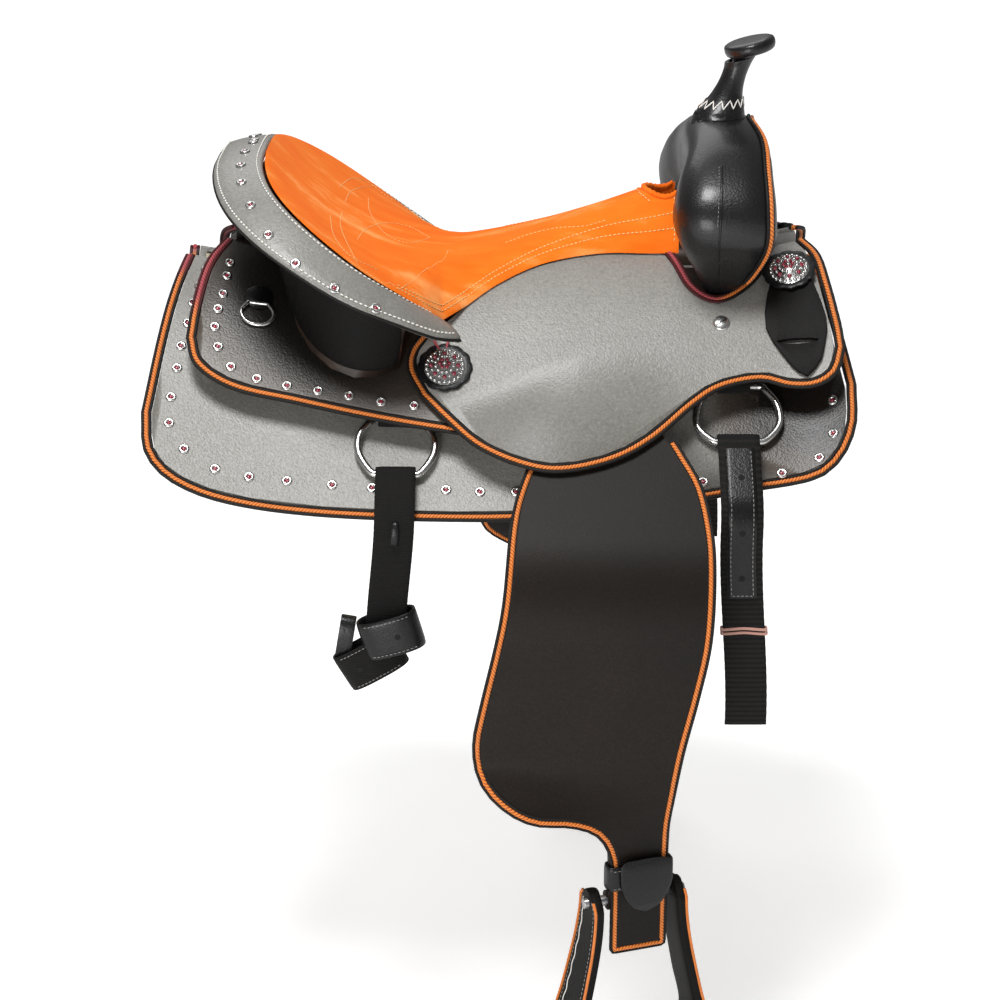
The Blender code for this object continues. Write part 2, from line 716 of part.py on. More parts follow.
def cantle():
    """The cantle's wood, the leather on its back and the roll round its ridge."""
    spans = 18
    wall = []
    back = []
    for k in range(spans + 1):
        t = WALL_REACH * (2 * k / spans - 1)
        top = ridge(t)
        out = ridge_outward(t)

        def inner(depth, clearance):
            place = top - out * depth
            return Vector((place.x, place.y, min(top.z, seat_top(place.x, place.y)) - clearance))

        def foot(depth):
            place = top - out * depth
            over = REAR_JOCKEY_H + JOCKEY_LEATHER + GAP
            return drape(place.x, s_at(abs(place.y), over), over).z

        inner_top = inner(0.009, 0.0185)
        inner_middle = inner(0.020, 0.0215)
        outer_top = top + out * 0.003 + Vector((0, 0, -0.0160))
        inner_low = top - out * 0.032
        outer_low = top - out * 0.016
        inner_low.z = min(foot(0.032), inner_middle.z - 0.003)
        outer_low.z = min(foot(0.016), outer_top.z - 0.006)
        wall.append([
            inner_top,
            outer_top,
            outer_top.lerp(outer_low, 0.5) - out * 0.002,
            outer_low,
            inner_low,
            inner_middle,
        ])
        back.append([
            outer_top + out * 0.0012 + Vector((0, 0, -0.001)),
            outer_top.lerp(outer_low, 0.5) - out * 0.0008,
            outer_low + out * 0.0012 + Vector((0, 0, 0.0020)),
        ])
    roll = []
    for k in range(spans + 1):
        t = 0.975 * (2 * k / spans - 1)
        top = ridge(t)
        out = ridge_outward(t)
        droop = radians(10 + 20 * abs(out.y))
        fade = sqrt(max(0.0, 1 - abs(t) ** 12))
        width = ROLL_WIDTH * (0.35 + 0.65 * fade)
        along = Vector((-out.y, out.x, 0.0))
        lean = Vector((out.x * cos(droop), out.y * cos(droop), -sin(droop)))
        lift = along.cross(lean).normalized()
        if lift.z < 0:
            lift = -lift
        centre = top + lean * (width / 2 + 0.0028) - lift * 0.004
        ring = []
        for j in range(8):
            a = 2 * pi * j / 8
            scale = (abs(cos(a)) ** 2.6 + abs(sin(a)) ** 2.6) ** (-1 / 2.6)
            ring.append(centre + lean * (width / 2 * cos(a) * scale) + lift * (ROLL_HALF_THICKNESS * sin(a) * scale))
        roll.append(ring)
    loft("tree_cantle", wall, WOOD)
    loft("cantle_roll", roll, GREY_LEATHER, smooth_angle=60)
    bm = bmesh.new()
    verts = [[bm.verts.new(point) for point in row] for row in back]
    for a, b in zip(verts, verts[1:]):
        for k in range(len(a) - 1):
            bm.faces.new((a[k], b[k], b[k + 1], a[k + 1]))
    bm.normal_update()
    if sum((face.normal.x for face in bm.faces)) > 0:
        bmesh.ops.reverse_faces(bm, faces=bm.faces)
    mesh = bpy.data.meshes.new("cantle_back")
    bm.to_mesh(mesh)
    bm.free()
    piece = add("cantle_back", mesh, BLACK_LEATHER)
    skin = piece.modifiers.new("thickness", "SOLIDIFY")
    skin.thickness = CANTLE_BACK
    skin.offset = 1.0


# The leathers of one side, laid out flat as (x, s)
SKIRT_REAR = ((-0.295, 0.014), (-0.310, 0.109), (-0.320, 0.200))
SKIRT_BOTTOM = ((-0.320, 0.200), (-0.314, 0.240), (-0.285, 0.265), (-0.223, 0.277), (-0.089, 0.279), (0.018, 0.279),
                (0.1304, 0.2673), (0.2437, 0.2461), (0.2936, 0.2400), (0.3164, 0.2117), (0.3204, 0.1671))
SKIRT_FRONT = ((0.3204, 0.1671), (0.3125, 0.1077), (0.298, 0.010))
REAR_JOCKEY_INNER = ((-0.215, 0.030), (-0.140, 0.065))
REAR_JOCKEY_REAR = ((-0.256, 0.0157), (-0.2702, 0.049), (-0.2783, 0.0925), (-0.2813, 0.1286))
REAR_JOCKEY_BOTTOM = ((-0.2813, 0.1286), (-0.2723, 0.1545), (-0.2394, 0.1725), (-0.1805, 0.1805), (-0.1097, 0.1925),
                      (-0.0359, 0.2055))
REAR_JOCKEY_END = (-0.036, 0.100)
SEAT_JOCKEY_TOP = ((-0.030, 0.081), (0.0, 0.0593), (0.0419, 0.0376), (0.0941, 0.0233), (0.1508, 0.0173), (0.1649, 0.0357),
                   (0.1779, 0.0635), (0.2011, 0.0756), (0.2298, 0.0595), (0.2526, 0.0278), (0.266, 0.012))
SEAT_JOCKEY_REAR = ((-0.0639, 0.104), (-0.0779, 0.125), (-0.0799, 0.146), (-0.0679, 0.172))
SEAT_JOCKEY_BOTTOM = ((-0.0679, 0.172), (-0.045, 0.1979), (-0.018, 0.2239), (0.018, 0.2419), (0.053, 0.2483),
                      (0.0981, 0.238), (0.1343, 0.2166), (0.1716, 0.1816), (0.1989, 0.1624), (0.2365, 0.1541),
                      (0.2626, 0.1623), (0.2855, 0.1665), (0.3013, 0.1603), (0.3082, 0.1401))
SEAT_JOCKEY_FRONT = ((0.3082, 0.1401), (0.3063, 0.1128), (0.3006, 0.0724), (0.2951, 0.0378), (0.284, 0.012))


def at_height(h):
    """Puts a flat place on the saddle at one height off the horse."""
    return lambda x, s: drape(x, s, h)


def lacing(name, path, place, h):
    """The braid laced along the edge of a panel."""
    rings = []
    for point, beside in zip(path, offset_path(path, BRAID_RADIUS)):
        ring = []
        for k in range(BRAID_SIDES):
            angle = 2 * pi * k / BRAID_SIDES
            flat = point.lerp(beside, cos(angle))
            ring.append(place(flat.x, flat.y, h + BRAID_HALF * sin(angle)))
        rings.append(ring)
    return loft(name, rings, BRAID, smooth_angle=80)


def skirt():
    """The skirt, its woolskin and the braid round it."""
    columns = 20
    rows = 6
    path, (left, bottom, front) = braided_edges((SKIRT_REAR, SKIRT_BOTTOM, SKIRT_FRONT), (rows, columns, rows))
    right = list(reversed(front))
    top = spline((left[0], right[0]), columns)
    patch("skirt_right", top, bottom, left, right, at_height(SKIRT_H), SKIRT_LEATHER, GREY_LEATHER)
    lacing("skirt_trim_right", path, drape, SKIRT_H + SKIRT_LEATHER / 2)
    border = offset_path([*left, *bottom[1:], *front[1:]], -0.004)
    left = border[:rows + 1]
    bottom = border[rows:rows + columns + 1]
    right = list(reversed(border[rows + columns:]))
    top = spline((left[0], right[0]), columns)
    patch("skirt_fleece_right", top, bottom, left, right, at_height(0.0), FLEECE, WOOL)


def rear_jockey():
    """The panel behind the cantle and its braid. Its inner edge passes below the cantle's foot."""
    columns = 11
    rows = 6
    path, (left, bottom) = braided_edges((REAR_JOCKEY_REAR, REAR_JOCKEY_BOTTOM), (rows, columns))
    top = spline((left[0], *REAR_JOCKEY_INNER, REAR_JOCKEY_END), columns)
    right = spline((REAR_JOCKEY_END, bottom[-1]), rows)
    patch("rear_jockey_right", top, bottom, left, right, at_height(REAR_JOCKEY_H), JOCKEY_LEATHER, GREY_LEATHER)
    lacing("rear_jockey_trim_right", path, drape, REAR_JOCKEY_H + JOCKEY_LEATHER / 2)


def seat_jockey():
    """The large panel below the seat, cut out round the fork, and its braid."""
    columns = 24
    rows = 6
    runs = (SEAT_JOCKEY_REAR, SEAT_JOCKEY_BOTTOM, SEAT_JOCKEY_FRONT)
    path, (left, bottom, front) = braided_edges(runs, (rows, columns, rows))
    right = list(reversed(front))
    top = spline((left[0], *SEAT_JOCKEY_TOP, right[0]), columns)
    patch("seat_jockey_right", top, bottom, left, right, at_height(SEAT_JOCKEY_H), JOCKEY_LEATHER, GREY_LEATHER)
    lacing("seat_jockey_trim_right", path, drape, SEAT_JOCKEY_H + JOCKEY_LEATHER / 2)


BEND_END_DROP = FENDER_BEND * cos(SIDE_SLOPE)
PLANE_END = drape(FENDER_PIVOT_X, FENDER_PIVOT_S + FENDER_PLANE, FENDER_MIDDLE_H)
HANG_Y = PLANE_END.y - FENDER_BEND * (1 - sin(SIDE_SLOPE))
BEND_END_Z = PLANE_END.z - BEND_END_DROP
BEND_LENGTH = FENDER_BEND * (pi / 2 - SIDE_SLOPE)


def hang_r(z):
    """How far along the fender a height on its hanging part lies."""
    return FENDER_PLANE + BEND_LENGTH + BEND_END_Z - z


def fender_place(x, r, h):
    """A place on the fender: flat over the skirt, bent past its edge, then hanging, and turned at its end."""
    if r <= FENDER_PLANE:
        flat = drape(FENDER_PIVOT_X, FENDER_PIVOT_S + r, h)
        return Vector((x, flat.y, flat.z))
    lift = h - FENDER_MIDDLE_H
    slope = SIDE_SLOPE + min(r - FENDER_PLANE, BEND_LENGTH) / FENDER_BEND
    y = PLANE_END.y - FENDER_BEND * (sin(slope) - sin(SIDE_SLOPE)) - lift * sin(slope)
    z = PLANE_END.z - FENDER_BEND * (cos(SIDE_SLOPE) - cos(slope)) + lift * cos(slope)
    z -= max(0.0, r - FENDER_PLANE - BEND_LENGTH)
    share = min(1.0, max(0.0, (z - TWIST_START_Z) / (TWIST_END_Z - TWIST_START_Z)))
    turn = STIRRUP_TWIST * share * share * (3 - 2 * share)
    away = Matrix.Rotation(turn, 3, "Z") @ Vector((x - HANG_X, y - HANG_Y, 0.0))
    return Vector((HANG_X + away.x, HANG_Y + away.y, z))


FENDER_ROWS = 27
FENDER_NECK = 0.0346
FENDER_BRAID_START = 0.105
TAIL_R = hang_r(FENDER_TAIL_Z)
TAIL_HALF = 0.023
TAIL_LEFT = HANG_X - TAIL_HALF
TAIL_RIGHT = HANG_X + TAIL_HALF
FENDER_LEFT = ((FENDER_PIVOT_X - FENDER_NECK, 0.0), (0.071, 0.047), (0.052, 0.099), (0.034, 0.125), (0.024, 0.147),
               (0.014, 0.187), (0.007, 0.2603), (-0.001, 0.3039), (-0.014, 0.3619), (-0.020, 0.3959),
               (-0.0161, 0.4249), (0.0007, 0.445), (0.0277, 0.4598), (0.0642, 0.4659), (0.089, 0.4791),
               (0.102, 0.506), (TAIL_LEFT, 0.539), (TAIL_LEFT, TAIL_R))
FENDER_RIGHT = ((TAIL_RIGHT, TAIL_R), (TAIL_RIGHT, 0.4982), (0.1521, 0.4582), (0.1581, 0.4099), (0.1711, 0.3499),
                (0.1801, 0.2989), (0.1834, 0.2355), (0.182, 0.195), (0.175, 0.154), (0.160, 0.121), (0.144, 0.087),
                (0.139, 0.047), (FENDER_PIVOT_X + FENDER_NECK, 0.0))


def fender():
    """The fender, with its neck under the seat jockey, its panel and its tail in front of the stirrup's bolt."""
    columns = 5
    runs = (FENDER_LEFT, ((TAIL_LEFT, TAIL_R), (TAIL_RIGHT, TAIL_R)), FENDER_RIGHT)
    path, (left, bottom, front) = braided_edges(runs, (FENDER_ROWS, columns, FENDER_ROWS))
    right = list(reversed(front))
    radius = FENDER_PIVOT_X - left[0].x
    turns = [pi * k / columns for k in range(columns + 1)]
    top = [Vector((FENDER_PIVOT_X - radius * cos(turn), -radius * sin(turn))) for turn in turns]
    panel = patch("fender_right", top, bottom, left, right, lambda x, r: fender_place(x, r, FENDER_H),
                  FENDER_LEATHER, BROWN_LEATHER)
    laced = [point for point in path if point.y > FENDER_BRAID_START]
    braid = lacing("fender_trim_right", laced, fender_place, FENDER_MIDDLE_H)
    return panel, braid


BOLT_GAP = 0.0005
BOLT_H = LEATHER_H - STIRRUP_LEATHER / 2 - BOLT_GAP - BOLT_RADIUS
BOLT_R = hang_r(BOLT_Z)


def closing_angle(eye, thickness):
    """The angle at which a strap folded round an eye meets its own straight part."""
    return asin((eye - SEAT_GAP) / (eye + thickness)) - radians(1)


def stirrup_leather():
    """The leather that hangs from the bar behind the fender, folded round the stirrup's bolt."""
    eye = BOLT_RADIUS + BOLT_GAP
    runs = [-0.012, 0.5 * FENDER_PLANE]
    runs += [FENDER_PLANE + BEND_LENGTH * k / 8 for k in range(9)]
    twist = [hang_r(TWIST_START_Z + (TWIST_END_Z - TWIST_START_Z) * k / 8) for k in range(9)]
    straight = [Vector((r, LEATHER_H)) for r in (*runs, *twist)]
    end = closing_angle(eye, STIRRUP_LEATHER)
    folded = fold((BOLT_R, BOLT_H), eye + STIRRUP_LEATHER / 2, pi / 2, pi / 2 - 3 * pi / 2 - end, 12)

    def across(r):
        share = min(1.0, max(0.0, r / BOLT_R))
        return FENDER_PIVOT_X + (HANG_X - FENDER_PIVOT_X) * share, STIRRUP_LEATHER_WIDTH

    return band("stirrup_leather_right", [*straight, *folded], across, STIRRUP_LEATHER, fender_place, TREE_LEATHER)


HOBBLE_TOP_Z = -0.428
HOBBLE_WIDTH = 0.024
HOBBLE_LEATHER = 0.003


def turned_frame(z):
    """The place and turn of the hanging leathers' end at a height."""
    return Matrix.Translation((HANG_X, HANG_Y, z)) @ Matrix.Rotation(STIRRUP_TWIST, 4, "Z")


def hobble_strap():
    """The short strap round the fender's tail and the stirrup leather, with its tongue in front."""
    half = max(STIRRUP_LEATHER_WIDTH / 2, TAIL_HALF + BRAID_RADIUS) + 0.0018
    front = -(BRAID_HALF + 1.5 * GAP)
    rear = FENDER_MIDDLE_H - LEATHER_H + STIRRUP_LEATHER / 2 + 2 * GAP
    rings = []
    corners = ((-half, front), (half, front), (half, rear), (-half, rear))
    centre = (front + rear) / 2

    def loop(grow):
        points = []
        for x, y in corners:
            bevel = 0.0015
            sx = 1 if x > 0 else -1
            sy = 1 if y > centre else -1
            one = (x + sx * grow - sx * bevel, y + sy * grow)
            two = (x + sx * grow, y + sy * grow - sy * bevel)
            points.extend((two, one) if sx * sy > 0 else (one, two))
        return points

    outer = loop(HOBBLE_LEATHER)
    inner = loop(0.0)
    middle = len(outer)
    for k in range(middle):
        ring = []
        for point, z in ((outer[k], HOBBLE_TOP_Z), (outer[k], HOBBLE_TOP_Z - HOBBLE_WIDTH),
                         (inner[k], HOBBLE_TOP_Z - HOBBLE_WIDTH), (inner[k], HOBBLE_TOP_Z)):
            ring.append(turned_frame(z) @ Vector((point[0], point[1], 0.0)))
        rings.append(ring)
    band = loft("hobble_strap_right", rings, BLACK_LEATHER, closed=True)
    return band


def stirrup_path():
    """The stirrup's outline from its right lug down, along the tread and up to its left lug, in (x, z)."""
    half_top = STIRRUP_MOUTH / 2 + STIRRUP_BAR / 2
    half_low = STIRRUP_WIDTH / 2 - STIRRUP_BAR / 2
    tread = -STIRRUP_HEIGHT
    side = [(half_top, 0.012), (half_top, -0.012), (half_top + 0.004, -0.045), (half_low - 0.010, -0.095),
            (half_low, tread + 0.028), (half_low - 0.010, tread + 0.006), (half_low - 0.030, tread)]
    half = spline(side, 10)
    return [*half, *[Vector((-p.x, p.y)) for p in reversed(half)]]


def stirrup():
    """The stirrup, a band that widens to its tread, and the bolt between its lugs."""
    path = stirrup_path()
    rings = []
    count = len(path)
    lowest = min(p.y for p in path)
    for i, point in enumerate(path):
        along = (path[min(i + 1, count - 1)] - path[max(i - 1, 0)]).normalized()
        if i in (count // 2 - 1, count // 2):
            along = Vector((-1.0, 0.0))
        normal = Vector((-along.y, along.x))
        share = min(1.0, max(0.0, point.y / lowest))
        depth = STIRRUP_TOP_DEPTH + (STIRRUP_TREAD_DEPTH - STIRRUP_TOP_DEPTH) * share
        frame = turned_frame(BOLT_Z)
        ring = []
        for dn, dy in ((-1, -0.8), (-0.5, -1), (0.5, -1), (1, -0.8), (1, 0.8), (0.5, 1), (-0.5, 1), (-1, 0.8)):
            flat = point + normal * (dn * STIRRUP_BAR / 2)
            ring.append(frame @ Vector((flat.x, bolt_offset() + dy * depth / 2, flat.y)))
        rings.append(ring)
    band = loft("stirrup_right", rings, BLACK_LEATHER)
    bolt = cylinder("stirrup_bolt_right", BOLT_RADIUS, STIRRUP_MOUTH + 2 * STIRRUP_BAR + 0.008, STEEL)
    bore = cylinder("stirrup_bore_cutter", BOLT_RADIUS + SEAT_GAP, STIRRUP_MOUTH + 4 * STIRRUP_BAR, STEEL)
    for piece in (bolt, bore):
        lay = turned_frame(BOLT_Z) @ Matrix.Translation((0.0, bolt_offset(), 0.0)) @ Matrix.Rotation(pi / 2, 4, "Y")
        piece.data.transform(lay)
    boolean(band, bore)
    return band, bolt


def bolt_offset():
    """How far behind the fender's middle the bolt lies."""
    return FENDER_MIDDLE_H - BOLT_H


def cylinder(name, radius, length, look, sides=16):
    """A round bar along Z about the world's origin."""
    bm = bmesh.new()
    bmesh.ops.create_cone(bm, cap_ends=True, segments=sides, radius1=radius, radius2=radius, depth=length)
    mesh = bpy.data.meshes.new(name)
    bm.to_mesh(mesh)
    bm.free()
    return add(name, mesh, look)


FRONT_DEE = ((0.193, 0.150), (0.1803, 0.1700), (0.1788, 0.1920), (0.192, 0.2070), (0.203, 0.2076), (0.228, 0.2076),
             (0.240, 0.2066), (0.2535, 0.1900), (0.2517, 0.1680), (0.2397, 0.150))
REAR_DEE = ((-0.116, 0.186), (-0.127, 0.203), (-0.127, 0.222), (-0.1155, 0.2405), (-0.106, 0.2415), (-0.081, 0.2415),
            (-0.0715, 0.2405), (-0.060, 0.222), (-0.060, 0.203), (-0.071, 0.186))
BILLET_CENTRE_X = -0.0935
BILLET_WIDTH = 0.036
BILLET_END_Z = -0.258


def dee(name, controls):
    """A rigging dee: wire bent to a D, flat on the skirt."""
    points = [Vector(c) for c in controls]
    body = spline(points, 15)
    base = [body[-1].lerp(body[0], k / 3) for k in (1, 2)]
    return tube(name, [drape(p.x, p.y, DEE_H) for p in (*body, *base)], DEE_WIRE, SILVER, cyclic=True)


def dee_tab(name, centre_x, width, bar_s, start_s):
    """The leather that holds a dee: flat on the skirt, and folded round the dee's top bar."""
    eye = DEE_WIRE + DEE_GAP
    middle = eye + LACING_LEATHER / 2
    end = closing_angle(eye, LACING_LEATHER)
    folded = fold((bar_s, DEE_H), middle, -pi / 2, pi + end, 12)
    start = Vector((start_s, DEE_H - middle))
    return band(name, [start, *folded], lambda r: (centre_x, width), LACING_LEATHER, drape, BLACK_LEATHER)


STRAP_BEND = 0.035
FRONT_BAR_S = FRONT_DEE[4][1]
REAR_BAR_S = REAR_DEE[4][1]
STRAP_PLANE_S = 0.264


def strap_place(x, s, h):
    """A place on a strap that lies over the skirt, bends past its edge and hangs."""
    if s <= STRAP_PLANE_S:
        return drape(x, s, h)
    start = drape(x, STRAP_PLANE_S, DEE_H)
    lift = h - DEE_H
    length = STRAP_BEND * (pi / 2 - SIDE_SLOPE)
    slope = SIDE_SLOPE + min(s - STRAP_PLANE_S, length) / STRAP_BEND
    y = start.y - STRAP_BEND * (sin(slope) - sin(SIDE_SLOPE)) - lift * sin(slope)
    z = start.z - STRAP_BEND * (cos(SIDE_SLOPE) - cos(slope)) + lift * cos(slope)
    return Vector((x, y, z - max(0.0, s - STRAP_PLANE_S - length)))


def strap_bends():
    """Places along a hanging strap where it bends past the skirt's edge."""
    length = STRAP_BEND * (pi / 2 - SIDE_SLOPE)
    return [STRAP_PLANE_S + length * k / 4 for k in range(5)]


def hanging_strap(name, centre_x, width, bar_s, end_s, thickness, look):
    """A strap folded round a dee's lower bar, hanging over the skirt's edge."""
    eye = DEE_WIRE + DEE_GAP
    middle = eye + thickness / 2
    end = closing_angle(eye, thickness)
    folded = fold((bar_s, DEE_H), middle, 2 * pi + end, pi / 2, 12)
    straight = [Vector((s, DEE_H + middle)) for s in (*strap_bends(), end_s)]
    return band(name, [*folded, *straight], lambda r: (centre_x, width), thickness, strap_place, look)


def strap_s(z):
    """How far down a hanging strap a height lies, at the strap's own place along the saddle."""
    start = drape(STRAP_CENTRE_X, STRAP_PLANE_S, DEE_H)
    length = STRAP_BEND * (pi / 2 - SIDE_SLOPE)
    return STRAP_PLANE_S + length + start.z - STRAP_BEND * cos(SIDE_SLOPE) - z


WRAP_LENGTH = 0.094
WRAP_WIDTH = 0.036
WRAP_THICKNESS = 0.011
WRAP_TILT = radians(30)
WRAP_X = -0.110
WRAP_Z = -0.258


def billet_wrap():
    """The billet's spare length, wound flat round its own hanging end."""
    end = strap_place(WRAP_X, strap_s(WRAP_Z), DEE_H + DEE_WIRE + DEE_GAP + WEBBING / 2)
    rings = []
    for share, fullness in ((-1.0, 0.70), (-0.90, 0.93), (-0.4, 1.0), (0.0, 0.96), (0.4, 1.0), (0.90, 0.93), (1.0, 0.70)):
        ring = []
        for across, out in ((-1, -0.5), (-0.8, -1), (0.8, -1), (1, -0.5), (1, 0.5), (0.8, 1), (-0.8, 1), (-1, 0.5)):
            local = Vector((share * WRAP_LENGTH / 2, out * fullness * WRAP_THICKNESS / 2,
                            across * fullness * WRAP_WIDTH / 2))
            ring.append(end + Matrix.Rotation(-WRAP_TILT, 3, "Y") @ local)
        rings.append(ring)
    return loft("billet_wrap_joiner", rings, BLACK_LEATHER)


def rigging():
    """The front and rear dees with their tabs, the front strap and the folded billet."""
    front = dee("front_dee_right", FRONT_DEE)
    rear = dee("rear_dee_right", REAR_DEE)
    start = BAR_OUTER + 0.001
    dee_tab("front_dee_tab_right", 0.2135, 0.030, FRONT_DEE[0][1], start)
    dee_tab("rear_dee_tab_right", BILLET_CENTRE_X, 0.034, REAR_DEE[0][1], start)
    webbing = hanging_strap("front_strap_right", STRAP_CENTRE_X, STRAP_WIDTH, FRONT_BAR_S, strap_s(STRAP_END_Z),
                            WEBBING, WEB)
    face_h = DEE_H + DEE_WIRE + DEE_GAP + WEBBING + (FACING - FACING_SINK) / 2
    runs = [FRONT_BAR_S + 0.012, *strap_bends(), strap_s(-0.200)]
    facing = band("front_strap_facing_joiner", [Vector((s, face_h)) for s in runs],
                  lambda r: (STRAP_CENTRE_X, STRAP_FACING_WIDTH), FACING + FACING_SINK, strap_place, BLACK_LEATHER)
    boolean(webbing, facing, "UNION")
    billet = hanging_strap("rear_billet_right", BILLET_CENTRE_X, BILLET_WIDTH, REAR_BAR_S, strap_s(BILLET_END_Z),
                           WEBBING, BLACK_LEATHER)
    boolean(billet, billet_wrap(), "UNION")
    return front, rear, webbing, billet


KEEPER_H = SEAT_JOCKEY_H + JOCKEY_LEATHER / 2 + BRAID_HALF + GAP
KEEPER_LEATHER = 0.0038
CONCHO_FRONT = (0.268, 0.0539)
CONCHO_MID = (-0.050, 0.146)
KEEPER_SLOT_WIDTH = 0.006


def keeper():
    """The latigo keeper, a leather leaf with a slot, under the front concho."""
    left = spline(((0.2562, 0.0449), (0.2436, 0.0849), (0.2445, 0.110), (0.2636, 0.1463)), 7)
    right = spline(((0.2821, 0.0473), (0.2916, 0.0779), (0.2983, 0.1118), (0.2914, 0.1461)), 7)
    top = spline((left[0], (0.2684, 0.0328), right[0]), 4)
    bottom = spline((left[-1], (0.2775, 0.1607), right[-1]), 4)
    leaf = patch("latigo_keeper_right", top, bottom, left, right, at_height(KEEPER_H), KEEPER_LEATHER, BLACK_LEATHER)
    slot = cylinder("keeper_slot_cutter", KEEPER_SLOT_WIDTH / 2, 0.03, BLACK_LEATHER, 10)
    slot.data.transform(Matrix.Diagonal((6.4, 1.0, 1.0, 1.0)))
    place_on(slot, (0.2715, 0.1229), KEEPER_H, turn=radians(-10))
    boolean(leaf, slot)
    washer = cylinder("keeper_washer_joiner", 0.010, KEEPER_H - SEAT_JOCKEY_H - JOCKEY_LEATHER + 0.0006, BLACK_LEATHER, 8)
    place_on(washer, CONCHO_FRONT, (KEEPER_H + SEAT_JOCKEY_H + JOCKEY_LEATHER) / 2 + 0.0010)
    boolean(leaf, washer, "UNION")
    return leaf


def place_on(piece, flat, h, turn=0.0):
    """Stands a piece on the saddle at a flat place, its Z away from the horse."""
    x, s = flat
    here = drape(x, s, h)
    slope = TOP_SLOPE + min(s, CROWN_LENGTH) / CROWN_RADIUS
    rise = (rocker(x + 0.01) - rocker(x - 0.01)) / 0.02
    up = Vector((-rise, -sin(slope), cos(slope))).normalized()
    forward = Vector((1.0, 0.0, rise)).normalized()
    side = up.cross(forward).normalized()
    forward = side.cross(up)
    basis = Matrix((forward, side, up)).transposed().to_4x4()
    piece.data.transform(Matrix.Translation(here) @ basis @ Matrix.Rotation(turn, 4, "Z"))


def concho(name, flat, h):
    """A concho: a scalloped leather rosette and a domed metal button, turned in one piece."""
    bm = bmesh.new()
    profile = ((0.0, 0.0085), (0.006, 0.0080), (0.012, 0.0060), (0.0165, 0.0030), (0.0170, 0.0022), (0.0235, 0.0020), (0.0240, 0.0))
    verts = [bm.verts.new((radius, 0.0, z)) for radius, z in profile]
    for a, b in zip(verts, verts[1:]):
        bm.edges.new((a, b))
    bmesh.ops.spin(bm, geom=bm.verts[:] + bm.edges[:], cent=(0, 0, 0), axis=(0, 0, 1), angle=2 * pi, steps=12, use_merge=True)
    bmesh.ops.remove_doubles(bm, verts=bm.verts, dist=1e-5)
    rim = [edge for edge in bm.edges if edge.is_boundary]
    bmesh.ops.contextual_create(bm, geom=rim)
    bmesh.ops.recalc_face_normals(bm, faces=bm.faces)
    mesh = bpy.data.meshes.new(name)
    bm.to_mesh(mesh)
    bm.free()
    piece = add(name, mesh, SILVER)
    place_on(piece, flat, h)
    return piece


STRING_DEE = ((-0.2314, 0.0867), (-0.2374, 0.0955), (-0.2324, 0.1047), (-0.2224, 0.1077), (-0.2125, 0.1047),
              (-0.2075, 0.0955), (-0.2134, 0.0867))
STRING_WIRE = 0.0018
STRING_H = REAR_JOCKEY_H + JOCKEY_LEATHER + STRING_WIRE + GAP


def string_dee():
    """The small dee that lies on the rear jockey."""
    body = spline(STRING_DEE, 11)
    base = [body[-1].lerp(body[0], 0.5)]
    path = [drape(p.x, p.y, STRING_H) for p in (*body, *base)]
    return tube("string_dee_right", path, STRING_WIRE, SILVER, cyclic=True)


def turn_about(point, *pieces):
    """Puts the origins of pieces that turn together on their hinge."""
    for piece in pieces:
        origin_at(piece, point)


def right_side():
    """All the pieces of the right side, the moving ones with their origins on their hinges."""
    skirt()
    rear_jockey()
    seat_jockey()
    panel, braid = fender()
    leather = stirrup_leather()
    hobble = hobble_strap()
    iron, bolt = stirrup()
    front, rear, webbing, billet = rigging()
    leaf = keeper()
    button = concho("concho_front_right", CONCHO_FRONT, KEEPER_H + KEEPER_LEATHER + 0.0016)
    concho("concho_mid_right", CONCHO_MID, SEAT_JOCKEY_H + JOCKEY_LEATHER + GAP)
    ring = string_dee()
    turn_about(drape(FENDER_PIVOT_X, FENDER_PIVOT_S, LEATHER_H), panel, braid, leather, hobble)
    turn_about(turned_frame(BOLT_Z) @ Vector((0.0, bolt_offset(), 0.0)), iron, bolt)
    turn_about(drape(STRAP_CENTRE_X, FRONT_DEE[0][1], DEE_H), front)
    turn_about(drape(STRAP_CENTRE_X, FRONT_BAR_S, DEE_H), webbing)
    turn_about(drape(BILLET_CENTRE_X, REAR_DEE[0][1], DEE_H), rear)
    turn_about(drape(BILLET_CENTRE_X, REAR_BAR_S, DEE_H), billet)
    turn_about(drape(*CONCHO_FRONT, KEEPER_H), leaf, button)
    turn_about(drape(-0.2223, STRING_DEE[0][1], STRING_H), ring)


for old in list(bpy.data.objects):
    bpy.data.objects.remove(old)
saddle = bpy.data.collections.new("barrel_racing_saddle")
cutters = bpy.data.collections.new("cutters")
bpy.context.scene.collection.children.link(saddle)
bpy.context.scene.collection.children.link(cutters)

SUEDE = material("orange_suede", (0.91, 0.22, 0.02), 0.85)
GREY_LEATHER = material("grey_pebbled_leather", (0.30, 0.31, 0.30), 0.55)
BLACK_LEATHER = material("black_leather", (0.02, 0.02, 0.022), 0.45)
BROWN_LEATHER = material("dark_oiled_leather", (0.035, 0.028, 0.024), 0.5)
TREE_LEATHER = material("brown_tree_leather", (0.16, 0.08, 0.04), 0.6)
WOOL = material("woolskin", (0.70, 0.62, 0.48), 0.95)
WOOD = material("tree_wood", (0.45, 0.28, 0.14), 0.6)
FOAM = material("seat_foam_grey", (0.25, 0.25, 0.25), 0.9)
BRAID = material("braided_lace", (0.75, 0.18, 0.05), 0.6)
WEB = material("nylon_webbing", (0.03, 0.03, 0.032), 0.7)
SILVER = material("silver_plate", (0.80, 0.80, 0.82), 0.25, 1.0)
STEEL = material("zinc_steel", (0.55, 0.55, 0.57), 0.35, 1.0)

seat()
bar()
_, fork_leather = fork()
horn(fork_leather)
cantle()
right_side()
for piece in [o for o in saddle.objects if o.name.endswith("_right")]:
    left_twin(piece)
